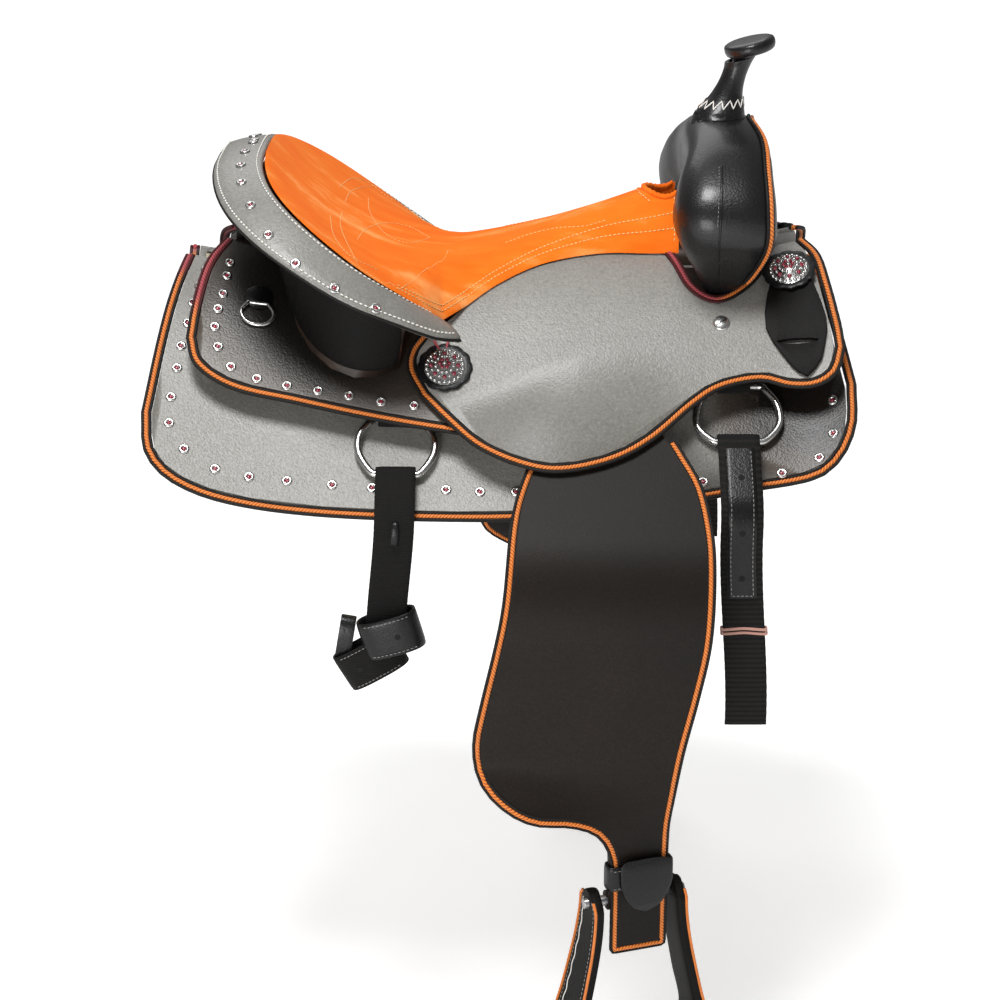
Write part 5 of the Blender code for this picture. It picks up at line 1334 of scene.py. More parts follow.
def fork_point(section, angle, shrink=0.0):
    """A point of the fork's rounded section, 0 at its outer face and 90 degrees at its front."""
    oy, oz, iy, iz, x0, x1 = section
    outer = Vector((0.0, oy, oz))
    inner = Vector((0.0, iy, iz))
    a = (outer - inner).length / 2 - shrink
    b = (x1 - x0) / 2 - shrink
    up, ahead = squared(angle, 3)
    middle = (outer + inner) / 2 + AHEAD * (x0 + x1) / 2
    return middle + (outer - inner).normalized() * (a * up) + AHEAD * (b * ahead)


HORN_BASE = Vector((0.2045, 0.0, 0.1905))
HORN_TOP = Vector((0.2240, 0.0, 0.2430))
FORK_COLUMNS = 64


def fork_place(i, j):
    """The cover's outer and inner faces as one closed skin round an open section."""
    half = FORK_COLUMNS // 2
    reach = radians(150)
    if i <= half:
        return fork_point(fork_sections[j], -reach + 2 * reach * i / half)
    return fork_point(fork_sections[j], reach - 2 * reach * (i - half) / half, FORK_LEATHER)


fork_bm = close_up(grid(FORK_COLUMNS, FORK_SPANS, fork_place))
under_horn = [v for v in fork_bm.verts if (v.co.xy - Vector((0.2040, 0.0))).length < 0.0185 and v.co.z > 0.17]
bmesh.ops.delete(fork_bm, geom=under_horn, context="VERTS")
fork_cover = piece("fork_cover_dressed", fork_bm, glossy_black, angle=55, replaces=["fork_cover"])
fork_surface = surface_of(fork_cover)
SEAM = ((722, 166), (722, 190), (721, 220), (719, 250), (718, 275), (718, 292))
seam_points = spline([p + n * 0.0002 for p, n in [seen(fork_surface, u, v) for u, v in SEAM]], 80)
seam_outs = normals(fork_surface, seam_points)
seam_sides = frames(seam_points, seam_outs)
pair("fork_seam", lambda: sweep(seam_points, seam_sides, seam_outs, oval(0.0011, 0.0007), 10), black_leather)
beside = [fork_surface.find_nearest(p + across * 0.0026)[:2]
          for p, across in zip(seam_points[:34], seam_sides)]
pair("fork_seam_stitches", lambda: stitch_row(*zip(*beside), 0.0040, 0.0028, 0.0003), grey_thread)
print("fork cover:", len(fork_cover.data.polygons), "faces")

# %% [markdown]
# The front rim of the fork is bound with the same lacing as the skirts. It stands half out of the
# surface and half ahead of it.

# %% Fork binding
rim = even([fork_point(section, radians(45), -0.0012) for section in fork_sections[5:-5]], 420)
rim_outs = []
for point in rim:
    near = fork_surface.find_nearest(point)[0]
    rim_outs.append(((point - near).normalized() + AHEAD * 0.25).normalized())
sunk = [p - o * 0.0006 for p, o in zip(rim, rim_outs)]
rim_sides = frames(rim, rim_outs)
piece("fork_binding_orange", merge(rope(rim, rim_outs, 0.0025, 0.0110, count=10, flat=1.1)), orange_cord,
      replaces=["fork_binding"])
piece("fork_binding_black", borders(sunk, rim_outs, 0.0018, 0.0035, -0.0076, sides=rim_sides), black_cord)
print("fork bound over", round(length_of(rim), 3), "m")

# %% [markdown]
# ## The horn
# The horn's steel neck is wrapped in black leather and laced with a white zigzag at its foot. The cap
# is a tilted oval, covered, with a rough edge where the two leathers meet.

# %% Horn
CAP_TILT = radians(14)
CAP_LENGTH = 0.048
CAP_WIDTH = 0.056
CAP_THICKNESS = 0.0125
NECK = ((0.0, 0.0260), (0.12, 0.0225), (0.35, 0.0160), (0.62, 0.0128), (0.85, 0.0130), (1.0, 0.0150))
NECK_RINGS = 40
neck_curve = spline(NECK, NECK_RINGS)


def neck_point(share, radius, angle):
    """A point round the horn's neck, whose rings tilt with the cap as they rise."""
    lean = CAP_TILT * share
    around = Vector((cos(angle) * cos(lean), sin(angle), cos(angle) * sin(lean)))
    return HORN_BASE.lerp(HORN_TOP, share) + radius * around


def neck_place(i, j):
    """Up the neck's outside and down its inside, 3.5 mm within, with its foot laid on the fork."""
    outside = j <= NECK_RINGS
    k = j if outside else 2 * NECK_RINGS + 1 - j
    point = neck_point(neck_curve[k].x, neck_curve[k].y - (0.0 if outside else 0.0035), 2 * pi * i / 48)
    if k < 6:
        under = fork_surface.ray_cast(point + UP * 0.03, -UP)[0]
        if under is not None:
            point.z -= max(0.0, point.z - under.z - 0.0004) * (1 - k / 6) ** 2
    return point


neck_bm = grid(48, 2 * NECK_RINGS + 1, neck_place)
bmesh.ops.remove_doubles(neck_bm, verts=neck_bm.verts, dist=1e-6)
bmesh.ops.bridge_loops(neck_bm, edges=[edge for edge in neck_bm.edges if edge.is_boundary])
bmesh.ops.recalc_face_normals(neck_bm, faces=neck_bm.faces)
piece("horn_wrap_dressed", neck_bm, glossy_black, angle=60, replaces=["horn_wrap"])
CAP_CENTRE = HORN_TOP + Vector((0.0085, 0.0, 0.0112))
CAP_RINGS = ((-0.5, 0.0), (-0.5, 0.74), (-0.46, 0.86), (-0.34, 0.95), (-0.1, 0.995), (0.05, 1.0),
             (0.25, 0.995), (0.38, 0.96), (0.46, 0.88), (0.5, 0.74), (0.52, 0.4), (0.53, 0.0))


def cap_place(i, j):
    """The cap's rings, with its edge slightly rough where the leathers are pressed together."""
    angle = 2 * pi * i / 72
    lift, scale = CAP_RINGS[j]
    rough = 0.006 * noise.noise(Vector((9 * cos(angle), 9 * sin(angle), 4 * lift))) if scale > 0.9 else 0.0
    half = scale * (1.0 + rough) / 2
    flat = Vector((CAP_LENGTH * half * cos(angle), CAP_WIDTH * half * sin(angle), CAP_THICKNESS * lift))
    return CAP_CENTRE + Matrix.Rotation(-CAP_TILT, 3, "Y") @ flat


piece("horn_cap_dressed", close_up(grid(72, len(CAP_RINGS) - 1, cap_place)), glossy_black, angle=50,
      replaces=["horn_cap"])
ZIGZAG_CORNERS = 28
zigzag = []
zigzag_outs = []
for k in range(ZIGZAG_CORNERS + 1):
    angle = 2 * pi * k / ZIGZAG_CORNERS
    share, radius = (0.16, 0.0216) if k % 2 else (0.30, 0.0181)
    zigzag.append(neck_point(share, radius, angle))
    zigzag_outs.append((neck_point(share, 1.0, angle) - neck_point(share, 0.0, angle)).normalized())
fine = []
fine_outs = []
for k in range(ZIGZAG_CORNERS):
    for step in range(4):
        fine.append(zigzag[k].lerp(zigzag[k + 1], step / 4))
        fine_outs.append(zigzag_outs[k].lerp(zigzag_outs[k + 1], step / 4).normalized())
lace_bm = sweep(fine, frames(fine, fine_outs, closed=True), fine_outs, oval(0.0007, 0.0005), 6, closed=True)
piece("horn_zigzag_lace", lace_bm, white_thread)
print("horn dressed")

# %% [markdown]
# ## The fender
# The fender bends over the skirt's edge, hangs, and turns with the stirrup at its end. The panel is a
# fine grid between its two long edges, bent as the CAD bends it, and its lacing follows that form.

# %% Fender
FENDER_PIVOT_X = 0.105
FENDER_PIVOT_S = 0.110
FENDER_PLANE = 0.205
FENDER_BEND = 0.120
FENDER_TAIL_Z = -0.515
HANG_X = 0.126
STIRRUP_TWIST = radians(18)
TWIST_START_Z = -0.325
TWIST_END_Z = -0.400
PLANE_END = drape(FENDER_PIVOT_X, FENDER_PIVOT_S + FENDER_PLANE, FENDER_MIDDLE_H)
HANG_Y = PLANE_END.y - FENDER_BEND * (1 - sin(SIDE_SLOPE))
BEND_LENGTH = FENDER_BEND * (pi / 2 - SIDE_SLOPE)


def hang_r(z):
    """How far along the fender a height on its hanging part lies."""
    return FENDER_PLANE + BEND_LENGTH + PLANE_END.z - FENDER_BEND * cos(SIDE_SLOPE) - z


def fender_place(x, r, h):
    """A place on the fender: flat over the skirt, bent past its edge, then hanging and turned."""
    if r <= FENDER_PLANE:
        flat = drape(FENDER_PIVOT_X, FENDER_PIVOT_S + r, h)
        return Vector((x, flat.y, flat.z))
    lift = h - FENDER_MIDDLE_H
    slope = SIDE_SLOPE + min(r - FENDER_PLANE, BEND_LENGTH) / FENDER_BEND
    y = PLANE_END.y - FENDER_BEND * (sin(slope) - sin(SIDE_SLOPE)) - lift * sin(slope)
    z = PLANE_END.z - FENDER_BEND * (cos(SIDE_SLOPE) - cos(slope)) + lift * cos(slope)
    z -= max(0.0, r - FENDER_PLANE - BEND_LENGTH)
    twist = STIRRUP_TWIST * step_between(-z, -TWIST_START_Z, -TWIST_END_Z)
    away = Matrix.Rotation(twist, 3, "Z") @ Vector((x - HANG_X, y - HANG_Y, 0.0))
    return Vector((HANG_X + away.x, HANG_Y + away.y, z))


TAIL_R = hang_r(FENDER_TAIL_Z)
TAIL_HALF = 0.023
FENDER_NECK = 0.0346
FENDER_EDGE = (
    ((FENDER_PIVOT_X - FENDER_NECK, 0.0), (0.071, 0.047), (0.052, 0.099), (0.034, 0.125), (0.024, 0.147),
     (0.014, 0.187), (0.007, 0.2603), (-0.001, 0.3039), (-0.014, 0.3619), (-0.020, 0.3959), (-0.0161, 0.4249),
     (0.0007, 0.445), (0.0277, 0.4598), (0.0642, 0.4659), (0.089, 0.4791), (0.102, 0.506),
     (HANG_X - TAIL_HALF, 0.539), (HANG_X - TAIL_HALF, TAIL_R)),
    ((HANG_X - TAIL_HALF, TAIL_R), (HANG_X + TAIL_HALF, TAIL_R)),
    ((HANG_X + TAIL_HALF, TAIL_R), (HANG_X + TAIL_HALF, 0.4982), (0.1521, 0.4582), (0.1581, 0.4099),
     (0.1711, 0.3499), (0.1801, 0.2989), (0.1834, 0.2355), (0.182, 0.195), (0.175, 0.154), (0.160, 0.121),
     (0.144, 0.087), (0.139, 0.047), (FENDER_PIVOT_X + FENDER_NECK, 0.0)))
PANEL_INSET = 0.0036
PANEL_HALF_COLUMNS = 14


def inset_run(points, shift):
    """A flat path moved sideways."""
    ways = [neighbours(points, k).normalized() for k in range(len(points))]
    return [point + Vector((-way.y, way.x, 0.0)) * shift for point, way in zip(points, ways)]


def panel_side(edge, side):
    """Half of the panel's outline: a quarter of its round neck, and a long edge inside the lacing."""
    inner = inset_run(spline(edge, 190), -PANEL_INSET * side)
    radius = abs(inner[0].x - FENDER_PIVOT_X)
    turns = [pi / 2 * k / 12 for k in range(12)]
    arc = [Vector((FENDER_PIVOT_X - side * radius * sin(turn), -radius * cos(turn), 0.0)) for turn in turns]
    inner[-1].y -= PANEL_INSET
    return [*arc, *even(inner, 190)]


def fender_panel():
    """The panel between its two long edges, over its face and back behind it."""
    left = panel_side(FENDER_EDGE[0], 1)
    right = panel_side(FENDER_EDGE[2][::-1], -1)
    half = PANEL_HALF_COLUMNS
    around = 2 * half + 2

    def place(i, j):
        column = i % around
        front = column <= half
        flat = left[j].lerp(right[j], (column if front else around - 1 - column) / half)
        return fender_place(flat.x, flat.y, FENDER_MIDDLE_H + (FENDER_HALF if front else -FENDER_HALF))

    return close_up(grid(around, len(left) - 1, place))


pair("fender_panel", fender_panel, fender_leather, "fender", 50, ["fender"])
edging("fender_lacing", FENDER_EDGE, lambda x, r, lift: fender_place(x, r, FENDER_MIDDLE_H + lift), "fender",
       "fender_trim", start=0.105)

# %% [markdown]
# ## The hobble strap
# A short strap gathers the fender's tail and the stirrup leather. Its end lies over the front as a
# rounded leaf, and stitches run along both edges of the strap's front.

# %% Hobble strap
STIRRUP_LEATHER_WIDTH = 0.054
HOBBLE_TOP_Z = -0.428
HOBBLE_WIDTH = 0.024


def turned_frame(z):
    """The place and turn of the hanging leathers' end at a height."""
    return Matrix.Translation((HANG_X, HANG_Y, z)) @ Matrix.Rotation(STIRRUP_TWIST, 4, "Z")


HOBBLE_HALF = max(STIRRUP_LEATHER_WIDTH / 2, TAIL_HALF + 0.0042) + 0.0018
HOBBLE_FRONT = -(BRAID_HALF + 1.5 * GAP)
HOBBLE_REAR = FENDER_MIDDLE_H - LEATHER_H + STIRRUP_LEATHER_HALF + 2 * GAP


def hobble():
    """The strap round the tail: a rounded rectangle, with soft edges."""
    centre = (HOBBLE_FRONT + HOBBLE_REAR) / 2
    half_y = (HOBBLE_REAR - HOBBLE_FRONT) / 2 + 0.0015
    ring = [squared(2 * pi * k / 72, 6) for k in range(72)]
    flat = [Vector(((HOBBLE_HALF + 0.0015) * across, centre + half_y * out, 0.0)) for across, out in ring]
    flat = even([*flat, flat[0]], 72)[:-1]
    base = turned_frame(HOBBLE_TOP_Z - HOBBLE_WIDTH / 2)
    ways = [flat[(k + 1) % 72] - flat[k - 1] for k in range(72)]
    outs = [(base.to_3x3() @ Vector((way.y, -way.x, 0.0))).normalized() for way in ways]
    return sweep([base @ p for p in flat], [-UP] * 72, outs, oblong(HOBBLE_WIDTH, 0.0030, 5), 20, closed=True)


def hobble_leaf():
    """The strap's wide rounded end, which hangs over its front."""
    top = HOBBLE_TOP_Z + 0.007
    length = 0.054
    outline = spline(((0.0, 0.0), (0.02, 0.70), (0.10, 0.97), (0.32, 1.0), (0.52, 0.95), (0.72, 0.78),
                      (0.90, 0.48), (1.0, 0.0)), 36)

    def place(i, j):
        share = min(1.0, max(0.0, outline[j].x))
        across, out = squared(2 * pi * i / 40, 4)
        across *= 0.0250 * max(0.0, outline[j].y)
        out *= -0.0015 * min(1.0, 6 * share + 0.1, 6 * (1 - share) + 0.1)
        bow = -0.0016 * sin(pi * share) + 0.0010 * (across / 0.025) ** 2
        front = HOBBLE_FRONT - 0.0054 + out + bow
        return turned_frame(top - length * share) @ Vector((0.0035 + across, front, 0.0))

    return close_up(grid(40, 36, place))


pair("hobble", hobble, black_leather, "fender", 60, ["hobble_strap"])
pair("hobble_leaf", hobble_leaf, black_leather, "fender", 60)


def hobble_stitches():
    """Grey stitches along both edges of the strap's front."""
    rows = []
    for z in (HOBBLE_TOP_Z - 0.0030, HOBBLE_TOP_Z - HOBBLE_WIDTH + 0.0030):
        base = turned_frame(z)
        places = [HOBBLE_HALF * (2 * k / 20 - 1) * 0.96 for k in range(21)]
        points = [base @ Vector((across, HOBBLE_FRONT - 0.0031, 0.0)) for across in places]
        rows.append(stitch_row(points, [base.to_3x3() @ OUTWARD] * 21, 0.0040, 0.0030, 0.0004))
    return merge(*rows)


pair("hobble_stitches", hobble_stitches, grey_thread, "fender")
print("hobble strap round", round(2 * HOBBLE_HALF * 1000), "mm")

# %% [markdown]
# ## Front webbing
# The front rigging carries nylon webbing with a leather facing sewn on. Every strap is swept along its
# side view: folded round the dee's bar, down over the skirt, bent past the skirt's edge and hanging.

# %% Straps
STRAP_BEND = 0.035
STRAP_PLANE_S = 0.264
STRAP_CENTRE_X = 0.2150
STRAP_LENGTH_BENT = STRAP_BEND * (pi / 2 - SIDE_SLOPE)
FRONT_BAR_S = FRONT_DEE[4][1]
REAR_BAR_S = REAR_DEE[4][1]


def strap_place(x, s, h):
    """A place on a strap that lies over the skirt, bends past its edge and hangs."""
    if s <= STRAP_PLANE_S:
        return drape(x, s, h)
    start = drape(x, STRAP_PLANE_S, DEE_H)
    lift = h - DEE_H
    slope = SIDE_SLOPE + min(s - STRAP_PLANE_S, STRAP_LENGTH_BENT) / STRAP_BEND
    y = start.y - STRAP_BEND * (sin(slope) - sin(SIDE_SLOPE)) - lift * sin(slope)
    z = start.z - STRAP_BEND * (cos(SIDE_SLOPE) - cos(slope)) + lift * cos(slope)
    return Vector((x, y, z - max(0.0, s - STRAP_PLANE_S - STRAP_LENGTH_BENT)))


def strap_s(z):
    """How far down a hanging strap a height lies."""
    start = drape(STRAP_CENTRE_X, STRAP_PLANE_S, DEE_H)
    return STRAP_PLANE_S + STRAP_LENGTH_BENT + start.z - STRAP_BEND * cos(SIDE_SLOPE) - z


def strap_run(bar_s, eye, thickness, end_s):
    """The strap's side view: folded round the dee's bar, then down to its end, as (s, h) pairs."""
    middle = eye + thickness / 2
    overlap = asin((eye - SEAT_GAP) / (eye + thickness)) - radians(1)
    pairs = []
    for k in range(29):
        angle = 2 * pi + overlap + (pi / 2 - 2 * pi - overlap) * k / 28
        pairs.append(Vector((bar_s + middle * cos(angle), DEE_H + middle * sin(angle))))
    return [*pairs, *[Vector((bar_s + (end_s - bar_s) * k / 90, DEE_H + middle)) for k in range(1, 91)]]


def strap_out(s, h):
    """The direction away from the horse at a place down a strap."""
    return (strap_place(0.2, s, h + 0.002) - strap_place(0.2, s, h)).normalized()


def strap(run, centre, width, thickness, wave=0.0):
    """A flat band along a side view; centre(s) is its place along the saddle."""
    points = [strap_place(centre(p.x), p.x, p.y) for p in run]
    outs = [AHEAD.cross(neighbours(points, k)).normalized() for k in range(len(points))]
    section = oblong(width, thickness, edge=lambda k: 1.0 + wave * sin(2.1 * k))
    return sweep(points, [AHEAD] * len(points), outs, section, 20)


def front_centre(s):
    """The webbing drifts a little forward as it hangs."""
    return STRAP_CENTRE_X + 0.010 * step_between(s, 0.30, strap_s(-0.32))


FRONT_END_S = strap_s(-0.326)
front_run = strap_run(FRONT_BAR_S, DEE_WIRE + DEE_GAP, WEBBING, FRONT_END_S)
pair("front_webbing", lambda: strap(front_run, front_centre, 0.038, WEBBING, wave=0.006), webbing,
     "front_strap", 60, ["front_strap"])
FACE_H = STRAP_TOP_H + 0.0009
FACE_TOP_H = FACE_H + 0.0011
FACE_START_S = FRONT_BAR_S + 0.012
face_length = strap_s(-0.200) - FACE_START_S
face_run = [Vector((FACE_START_S + face_length * k / 60, FACE_H)) for k in range(61)]
pair("front_facing", lambda: strap(face_run, front_centre, 0.026, FACING), black_leather, "front_strap", 60)


def facing_rows():
    """Two rows of stitches down the facing, and one across its end."""
    rows = []
    inner = [p.x for p in face_run[1:-1]]
    outs = [strap_out(s, FACE_H) for s in inner]
    for across in (-0.0098, 0.0098):
        line = [strap_place(front_centre(s) + across, s, FACE_TOP_H) for s in inner]
        rows.append(stitch_row(line, outs, 0.0044, 0.0034, 0.00042))
    end = inner[-1]
    line = [strap_place(front_centre(end) + 0.0098 * (2 * k / 8 - 1), end, FACE_TOP_H) for k in range(9)]
    rows.append(stitch_row(line, [OUTWARD] * 9, 0.0040, 0.0030, 0.00042))
    return merge(*rows)


def punched_hole(s):
    """A hole in the facing, as a thin dark disc on its face."""
    disc = lathe(((0.0, 0.0003), (0.00224, 0.0003), (0.0028, 0.00015), (0.0028, -0.0004), (0.0, -0.0004)), 20)
    return moved(disc, basis(strap_place(front_centre(s), s, FACE_TOP_H), strap_out(s, FACE_TOP_H), AHEAD))


HOLE_S = [strap_s(z) for z in (-0.092, -0.138, -0.181)]
pair("facing_stitches", facing_rows, grey_thread, "front_strap", slot="nylon_webbing")
pair("facing_holes", lambda: merge(*[punched_hole(s) for s in HOLE_S]), dark_hole_and_slot_shade, "front_strap", 60,
     slot="nylon_webbing")


def rubber_band(z):
    """One strand of the rubber band round the webbing."""
    s = strap_s(z)
    centre = strap_place(front_centre(s), s, STRAP_TOP_H - WEBBING / 2)
    points = []
    for k in range(64):
        across, out = squared(2 * pi * k / 64, 7)
        points.append(centre + Vector((0.0206 * across, 0.0024 * out, 0.0008 * sin(3 * 2 * pi * k / 64))))
    outs = [(p - centre).normalized() for p in points]
    return sweep(points, frames(points, outs, closed=True), outs, oval(0.0013, 0.0009), 10, closed=True)


pair("strap_rubber_band", lambda: merge(rubber_band(-0.2305), rubber_band(-0.2345)), rubber, "front_strap")
strap_end = strap_place(front_centre(FRONT_END_S), FRONT_END_S, DEE_H)
print("front strap ends at", [round(c, 3) for c in strap_end])

# %% [markdown]
# ## Rear billet
# A billet hangs from the rear dee, and its spare length is wound into a bundle: two wide turns and a
# narrow loop. Each turn is a closed loop of strap, flat and open at its top, at its own slant.

# %% Rear billet
BILLET_X = -0.0935
BILLET_END_S = strap_s(-0.250)
billet_run = strap_run(REAR_BAR_S, DEE_WIRE + DEE_GAP, WEBBING, BILLET_END_S)


def billet_centre(s):
    """The billet leans back a little on its way down."""
    return BILLET_X - 0.010 * step_between(s, 0.27, BILLET_END_S)


pair("rear_billet_strap", lambda: strap(billet_run, billet_centre, 0.036, WEBBING, wave=0.004), billet_web,
     "rear_billet", 60, ["rear_billet"])
WRAP_TILT = radians(30)
WRAP_CENTRE = strap_place(-0.109, strap_s(-0.247), STRAP_TOP_H - WEBBING / 2)
BUNDLE = Matrix.Translation(WRAP_CENTRE) @ Matrix.Rotation(-WRAP_TILT, 4, "Y")
BUNDLE_OUT = BUNDLE.to_3x3() @ OUTWARD


def cuff_frame(shift, rise, inward, tilt):
    """A turn's own frame in the bundle: moved along it, up and towards the horse, and tilted."""
    return BUNDLE @ Matrix.Translation((shift, inward, rise)) @ Matrix.Rotation(tilt, 4, "Y")


def cuff(spot, half_length, half_depth, width, thick=0.0026):
    """A turn of the wound billet: a flat loop, open at its top; spot is its place in the bundle."""
    lay = cuff_frame(*spot)
    ring = [squared(2 * pi * k / 72, 2.6) for k in range(72)]
    points = [lay @ Vector((half_length * across, half_depth * out, 0.0)) for across, out in ring]
    down = [lay.to_3x3() @ UP] * 72
    outs = [down[0].cross(points[(k + 1) % 72] - points[k - 1]).normalized() for k in range(72)]
    outs = [out if out.dot(p - lay.translation) > 0 else -out for out, p in zip(outs, points)]
    return sweep(points, down, outs, oblong(width, thick), 20, closed=True)


LOW_CUFF = ((-0.014, -0.008, 0.0004, 0.0), 0.0285, 0.0105, 0.0370)
HIGH_CUFF = ((0.016, 0.006, -0.0034, radians(14)), 0.0265, 0.0130, 0.0360)
LOOP = ((-0.024, 0.020, 0.0042, radians(-50)), 0.0200, 0.0090, 0.0140, 0.0024)
for name, sizes, look in (("billet_cuff_low", LOW_CUFF, billet_web),
                          ("billet_cuff_high", HIGH_CUFF, black_leather),
                          ("billet_loop", LOOP, black_leather)):
    pair(name, lambda: cuff(*sizes), look, "rear_billet", 60)


def bundle_rows():
    """Grey stitches along the edges of the two wide turns, on their faces."""
    rows = []
    for spot, half, depth, width in (LOW_CUFF, HIGH_CUFF):
        lay = cuff_frame(*spot)
        for edge in (1, -1):
            line = []
            for k in range(25):
                across = 0.80 * (2 * k / 24 - 1)
                front = -depth * (1 - abs(across) ** 2.6) ** (1 / 2.6) - 0.0014
                line.append(lay @ Vector((half * across, front, edge * (width / 2 - 0.003))))
            rows.append(stitch_row(line, [lay.to_3x3() @ OUTWARD] * 25, 0.0040, 0.0029, 0.0004))
    return merge(*rows)


def bundle_holes():
    """A punched hole in each of the wide turns."""
    places = [BUNDLE @ Vector(spot) for spot in ((-0.025, -0.0114, -0.009), (0.022, -0.0177, 0.004))]
    disc = lathe(((0.0, 0.0003), (0.00208, 0.0003), (0.0026, 0.0), (0.0, -0.0003)), 18)
    return scatter(disc, [basis(place, BUNDLE_OUT, AHEAD) for place in places])


SLOT_S = strap_s(-0.140)
SLOT_X = billet_centre(SLOT_S) + 0.001


def billet_slot():
    """The dark slot in the billet's face."""
    spot = basis(strap_place(SLOT_X, SLOT_S, STRAP_TOP_H), strap_out(SLOT_S, STRAP_TOP_H), AHEAD)
    return moved(ball(20, 8), scaled(0.0032, 0.0125, 0.0004), spot)


def billet_tongue():
    """The end of the tie that comes out of the slot and goes back in, a bent strip."""
    points = []
    for k in range(15):
        s = SLOT_S + 0.0100 * cos(pi * k / 14)
        h = STRAP_TOP_H + 0.0002 + 0.0040 * sin(pi * k / 14)
        points.append(strap_place(billet_centre(s) + 0.001, s, h))
    outs = [neighbours(points, k).cross(AHEAD).normalized() for k in range(15)]
    return sweep(points, [AHEAD] * 15, outs, oval(0.0030, 0.0008), 12)


pair("bundle_stitches", bundle_rows, grey_thread, "rear_billet")
pair("bundle_holes", bundle_holes, dark_hole_and_slot_shade, "rear_billet", 60)
pair("billet_slot", billet_slot, dark_hole_and_slot_shade, "rear_billet", 60)
pair("billet_tongue", billet_tongue, black_leather, "rear_billet", 60)
print("billet bundle at", [round(c, 3) for c in WRAP_CENTRE])

# %% [markdown]
# ## Stirrups
# The stirrup is a broad bent band covered in black leather. Orange piping runs along both of its
# edges, and a pale cord is sewn down its outer face.

# %% Stirrups
BOLT_Z = -0.470
BOLT_RADIUS = 0.005
BOLT_H = LEATHER_H - STIRRUP_LEATHER_HALF - 0.0005 - BOLT_RADIUS
BOLT_BACK = FENDER_MIDDLE_H - BOLT_H
STIRRUP_BAR = 0.010
STIRRUP_WIDTH = 0.138
STIRRUP_HEIGHT = 0.168
half_top = 0.070 / 2 + STIRRUP_BAR / 2
half_low = STIRRUP_WIDTH / 2 - STIRRUP_BAR / 2
side_curve = spline((
    (half_top, 0.012), (half_top, -0.012), (half_top + 0.004, -0.045), (half_low - 0.010, -0.095),
    (half_low, 0.028 - STIRRUP_HEIGHT), (half_low - 0.010, 0.006 - STIRRUP_HEIGHT),
    (half_low - 0.030, -STIRRUP_HEIGHT)), 70)
STIRRUP_SPANS = 180
stirrup_line = even([*side_curve, *[Vector((-p.x, p.y, 0.0)) for p in reversed(side_curve)]], STIRRUP_SPANS)
stirrup_base = turned_frame(BOLT_Z)


def stirrup_frame(k):
    """A point of the stirrup's outline, its outward direction and the band's depth there."""
    here = stirrup_line[k]
    along = neighbours(stirrup_line, k).normalized()
    depth = 0.041 + 0.023 * min(1.0, max(0.0, -here.y / STIRRUP_HEIGHT))
    lug = min(1.0, sqrt(max(0.0, (0.0125 - here.y) / 0.012))) if here.y > 0.0005 else 1.0
    return Vector((here.x, BOLT_BACK, here.y)), Vector((-along.y, 0.0, along.x)), depth * max(0.25, lug)


def stirrup_spot(k, across, out):
    """A place on the stirrup: across its depth from -1 at the front to 1, and out from its middle."""
    point, outward, depth = stirrup_frame(k)
    return stirrup_base @ (point + outward * out + Vector((0.0, across * depth / 2, 0.0)))


def stirrup_band():
    """The covered band, an oblong with rounded corners all along."""
    def place(i, j):
        across, out = squared(2 * pi * i / 28, 5)
        return stirrup_spot(j, across, STIRRUP_BAR / 2 * out)

    return close_up(grid(28, STIRRUP_SPANS, place))


def stirrup_path(across, out, trim=2):
    """A path on the stirrup with its outward directions; across(k) may change along it."""
    steps = range(trim, STIRRUP_SPANS + 1 - trim)
    return ([stirrup_spot(k, across(k), out) for k in steps],
            [stirrup_base.to_3x3() @ stirrup_frame(k)[1] for k in steps])


def piping():
    """Orange cords along both edges of the stirrup's outer face."""
    cords = []
    for across in (-0.97, 0.97):
        points, outs = stirrup_path(lambda k: across, STIRRUP_BAR / 2 - 0.0006)
        outs = [outs[round(k / 430 * (len(outs) - 1))] for k in range(431)]
        cords.append(rope(even(points, 430), outs, 0.0015, BLACK_LAY))
    return merge(*cords)


def stirrup_stitches():
    """Grey stitches inside the piping."""
    return merge(*[stitch_row(*stirrup_path(lambda k: across, STIRRUP_BAR / 2), 0.0044, 0.0033, 0.00042)
                   for across in (-0.74, 0.74)])


def stirrup_cord():
    """The pale cord on the outer face, pulled a little out of line at each stitch."""
    points, outs = stirrup_path(lambda k: 0.52 + 0.035 * sin(0.9 * k), STIRRUP_BAR / 2 + 0.0002, trim=4)
    return sweep(points, frames(points, outs), outs, oval(0.0007, 0.0005), 6)


pair("stirrup_band", stirrup_band, plain_black, "stirrup", 50, ["stirrup"])
pair("stirrup_piping", piping, orange_cord, "stirrup")
pair("stirrup_stitches", stirrup_stitches, grey_thread, "stirrup")
pair("stirrup_cord", stirrup_cord, white_thread, "stirrup")
print("stirrup tread at", [round(c, 3) for c in stirrup_spot(90, 0.0, 0.0)])

# %% [markdown]
# ## Woolskin
# The skirts are lined with sheared wool. Its pile is a dense soft surface, so we draw the lining's
# surface in a little and let a noise ruffle it, instead of growing hairs.

# %% Woolskin
def woolskin(side):
    """The CAD's lining, finely divided and ruffled."""
    node = "skirt_fleece_" + side
    bm = cad_mesh(node)
    for turn in range(2):
        long_edges = [e for e in bm.edges if e.calc_length() > 0.008]
        bmesh.ops.subdivide_edges(bm, edges=long_edges, cuts=1, use_grid_fill=True)
    bmesh.ops.triangulate(bm, faces=bm.faces)
    bm.normal_update()
    for vert in bm.verts:
        soft = noise.noise(vert.co * 140.0) + 0.6 * noise.noise(vert.co * 330.0)
        vert.co -= vert.normal * (0.0007 + 0.0006 * soft)
    made = piece("woolskin_" + side, bm, wool, replaces=[node])
    return made


for side in ("right", "left"):
    lining = woolskin(side)
print("woolskin:", len(lining.data.polygons), "faces on each side")

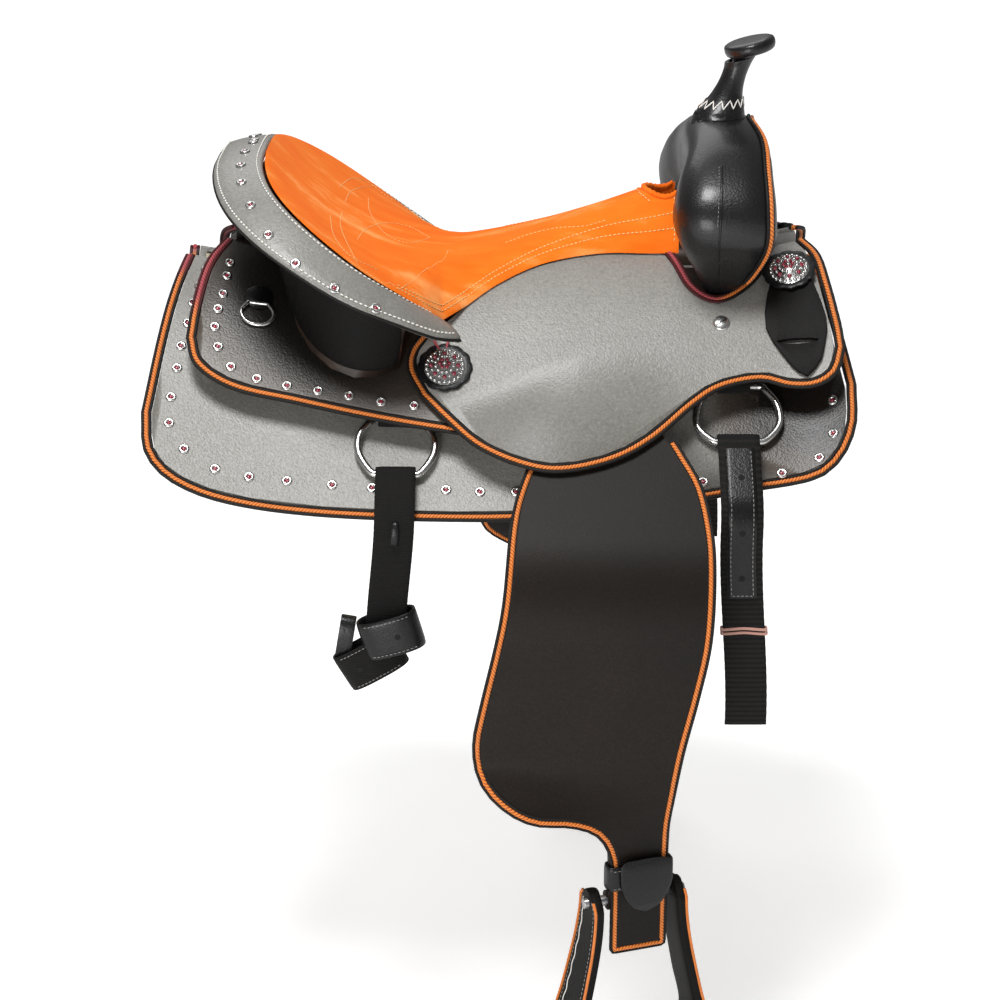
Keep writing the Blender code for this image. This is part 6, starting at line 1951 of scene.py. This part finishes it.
# %% [markdown]
# ## Floor and light
# The picture is a studio cut-out: white all round, with soft light from above and from the camera's
# left. The floor glows by itself and catches only a faint shadow. Camera rays see the floor and the
# world at full strength, and all others see them dimmer, so that the black leathers stay black.

# %% Stage
WHITE = (1.0, 1.0, 1.0, 1.0)
floor_look, tree, shader = material("studio_floor_white", Base_Color=tint("#f6f6f6"), Roughness=1.0,
                                    Specular_IOR_Level=0.0, Emission_Color=WHITE)
place = add_node(tree, "TexCoord").outputs["Object"]
far = add_node(tree, "VectorMath", {0: place}, operation="LENGTH")
glow = add_node(tree, "MapRange", {"Value": far.outputs["Value"]}, From_Min=0.8, From_Max=4.0, To_Min=0.56,
                To_Max=0.90)
rays = add_node(tree, "LightPath").outputs
straight = add_node(tree, "MapRange", {"Value": rays["Is Camera Ray"]}, To_Min=0.5, To_Max=1.0)
lit = add_node(tree, "Math", {0: glow.outputs[0], 1: straight.outputs[0]}, operation="MULTIPLY")
tree.links.new(lit.outputs[0], shader.inputs["Emission Strength"])
floor_bm = bmesh.new()
bmesh.ops.create_grid(floor_bm, x_segments=1, y_segments=1, size=20.0)
bmesh.ops.translate(floor_bm, vec=(0.0, 0.0, -0.70), verts=floor_bm.verts)
floor = loose_object("floor", floor_bm)
floor.data.materials.append(floor_look)

world = bpy.data.worlds.new("studio")
bpy.context.scene.world = world
world.use_nodes = True
tree = world.node_tree
rays = add_node(tree, "LightPath").outputs
clear = add_node(tree, "Math", {0: rays["Is Camera Ray"], 1: rays["Is Transmission Ray"]},
                 operation="MAXIMUM")
strength = add_node(tree, "MapRange", {"Value": clear.outputs[0]}, To_Min=0.2, To_Max=1.0)
tree.links.new(strength.outputs[0], tree.nodes["Background"].inputs["Strength"])
tree.nodes["Background"].inputs["Color"].default_value = WHITE


def area_light(name, place, size, power):
    """A soft square light that points at the saddle."""
    light = bpy.data.objects.new(name, bpy.data.lights.new(name, "AREA"))
    light.data.size = size
    light.data.energy = power
    light.location = place
    light.rotation_euler = (Vector(place) - VIEW_POINT).to_track_quat("Z", "Y").to_euler()
    bpy.context.scene.collection.objects.link(light)


area_light("key", (-0.35, -0.9, 2.3), 0.8, 58.0)
area_light("front", (-0.7, -2.4, -0.3), 1.0, 25.0)
area_light("back", (-0.3, 1.6, 1.7), 1.6, 13.0)
bpy.context.scene.view_settings.view_transform = "Standard"
print("stage lit")
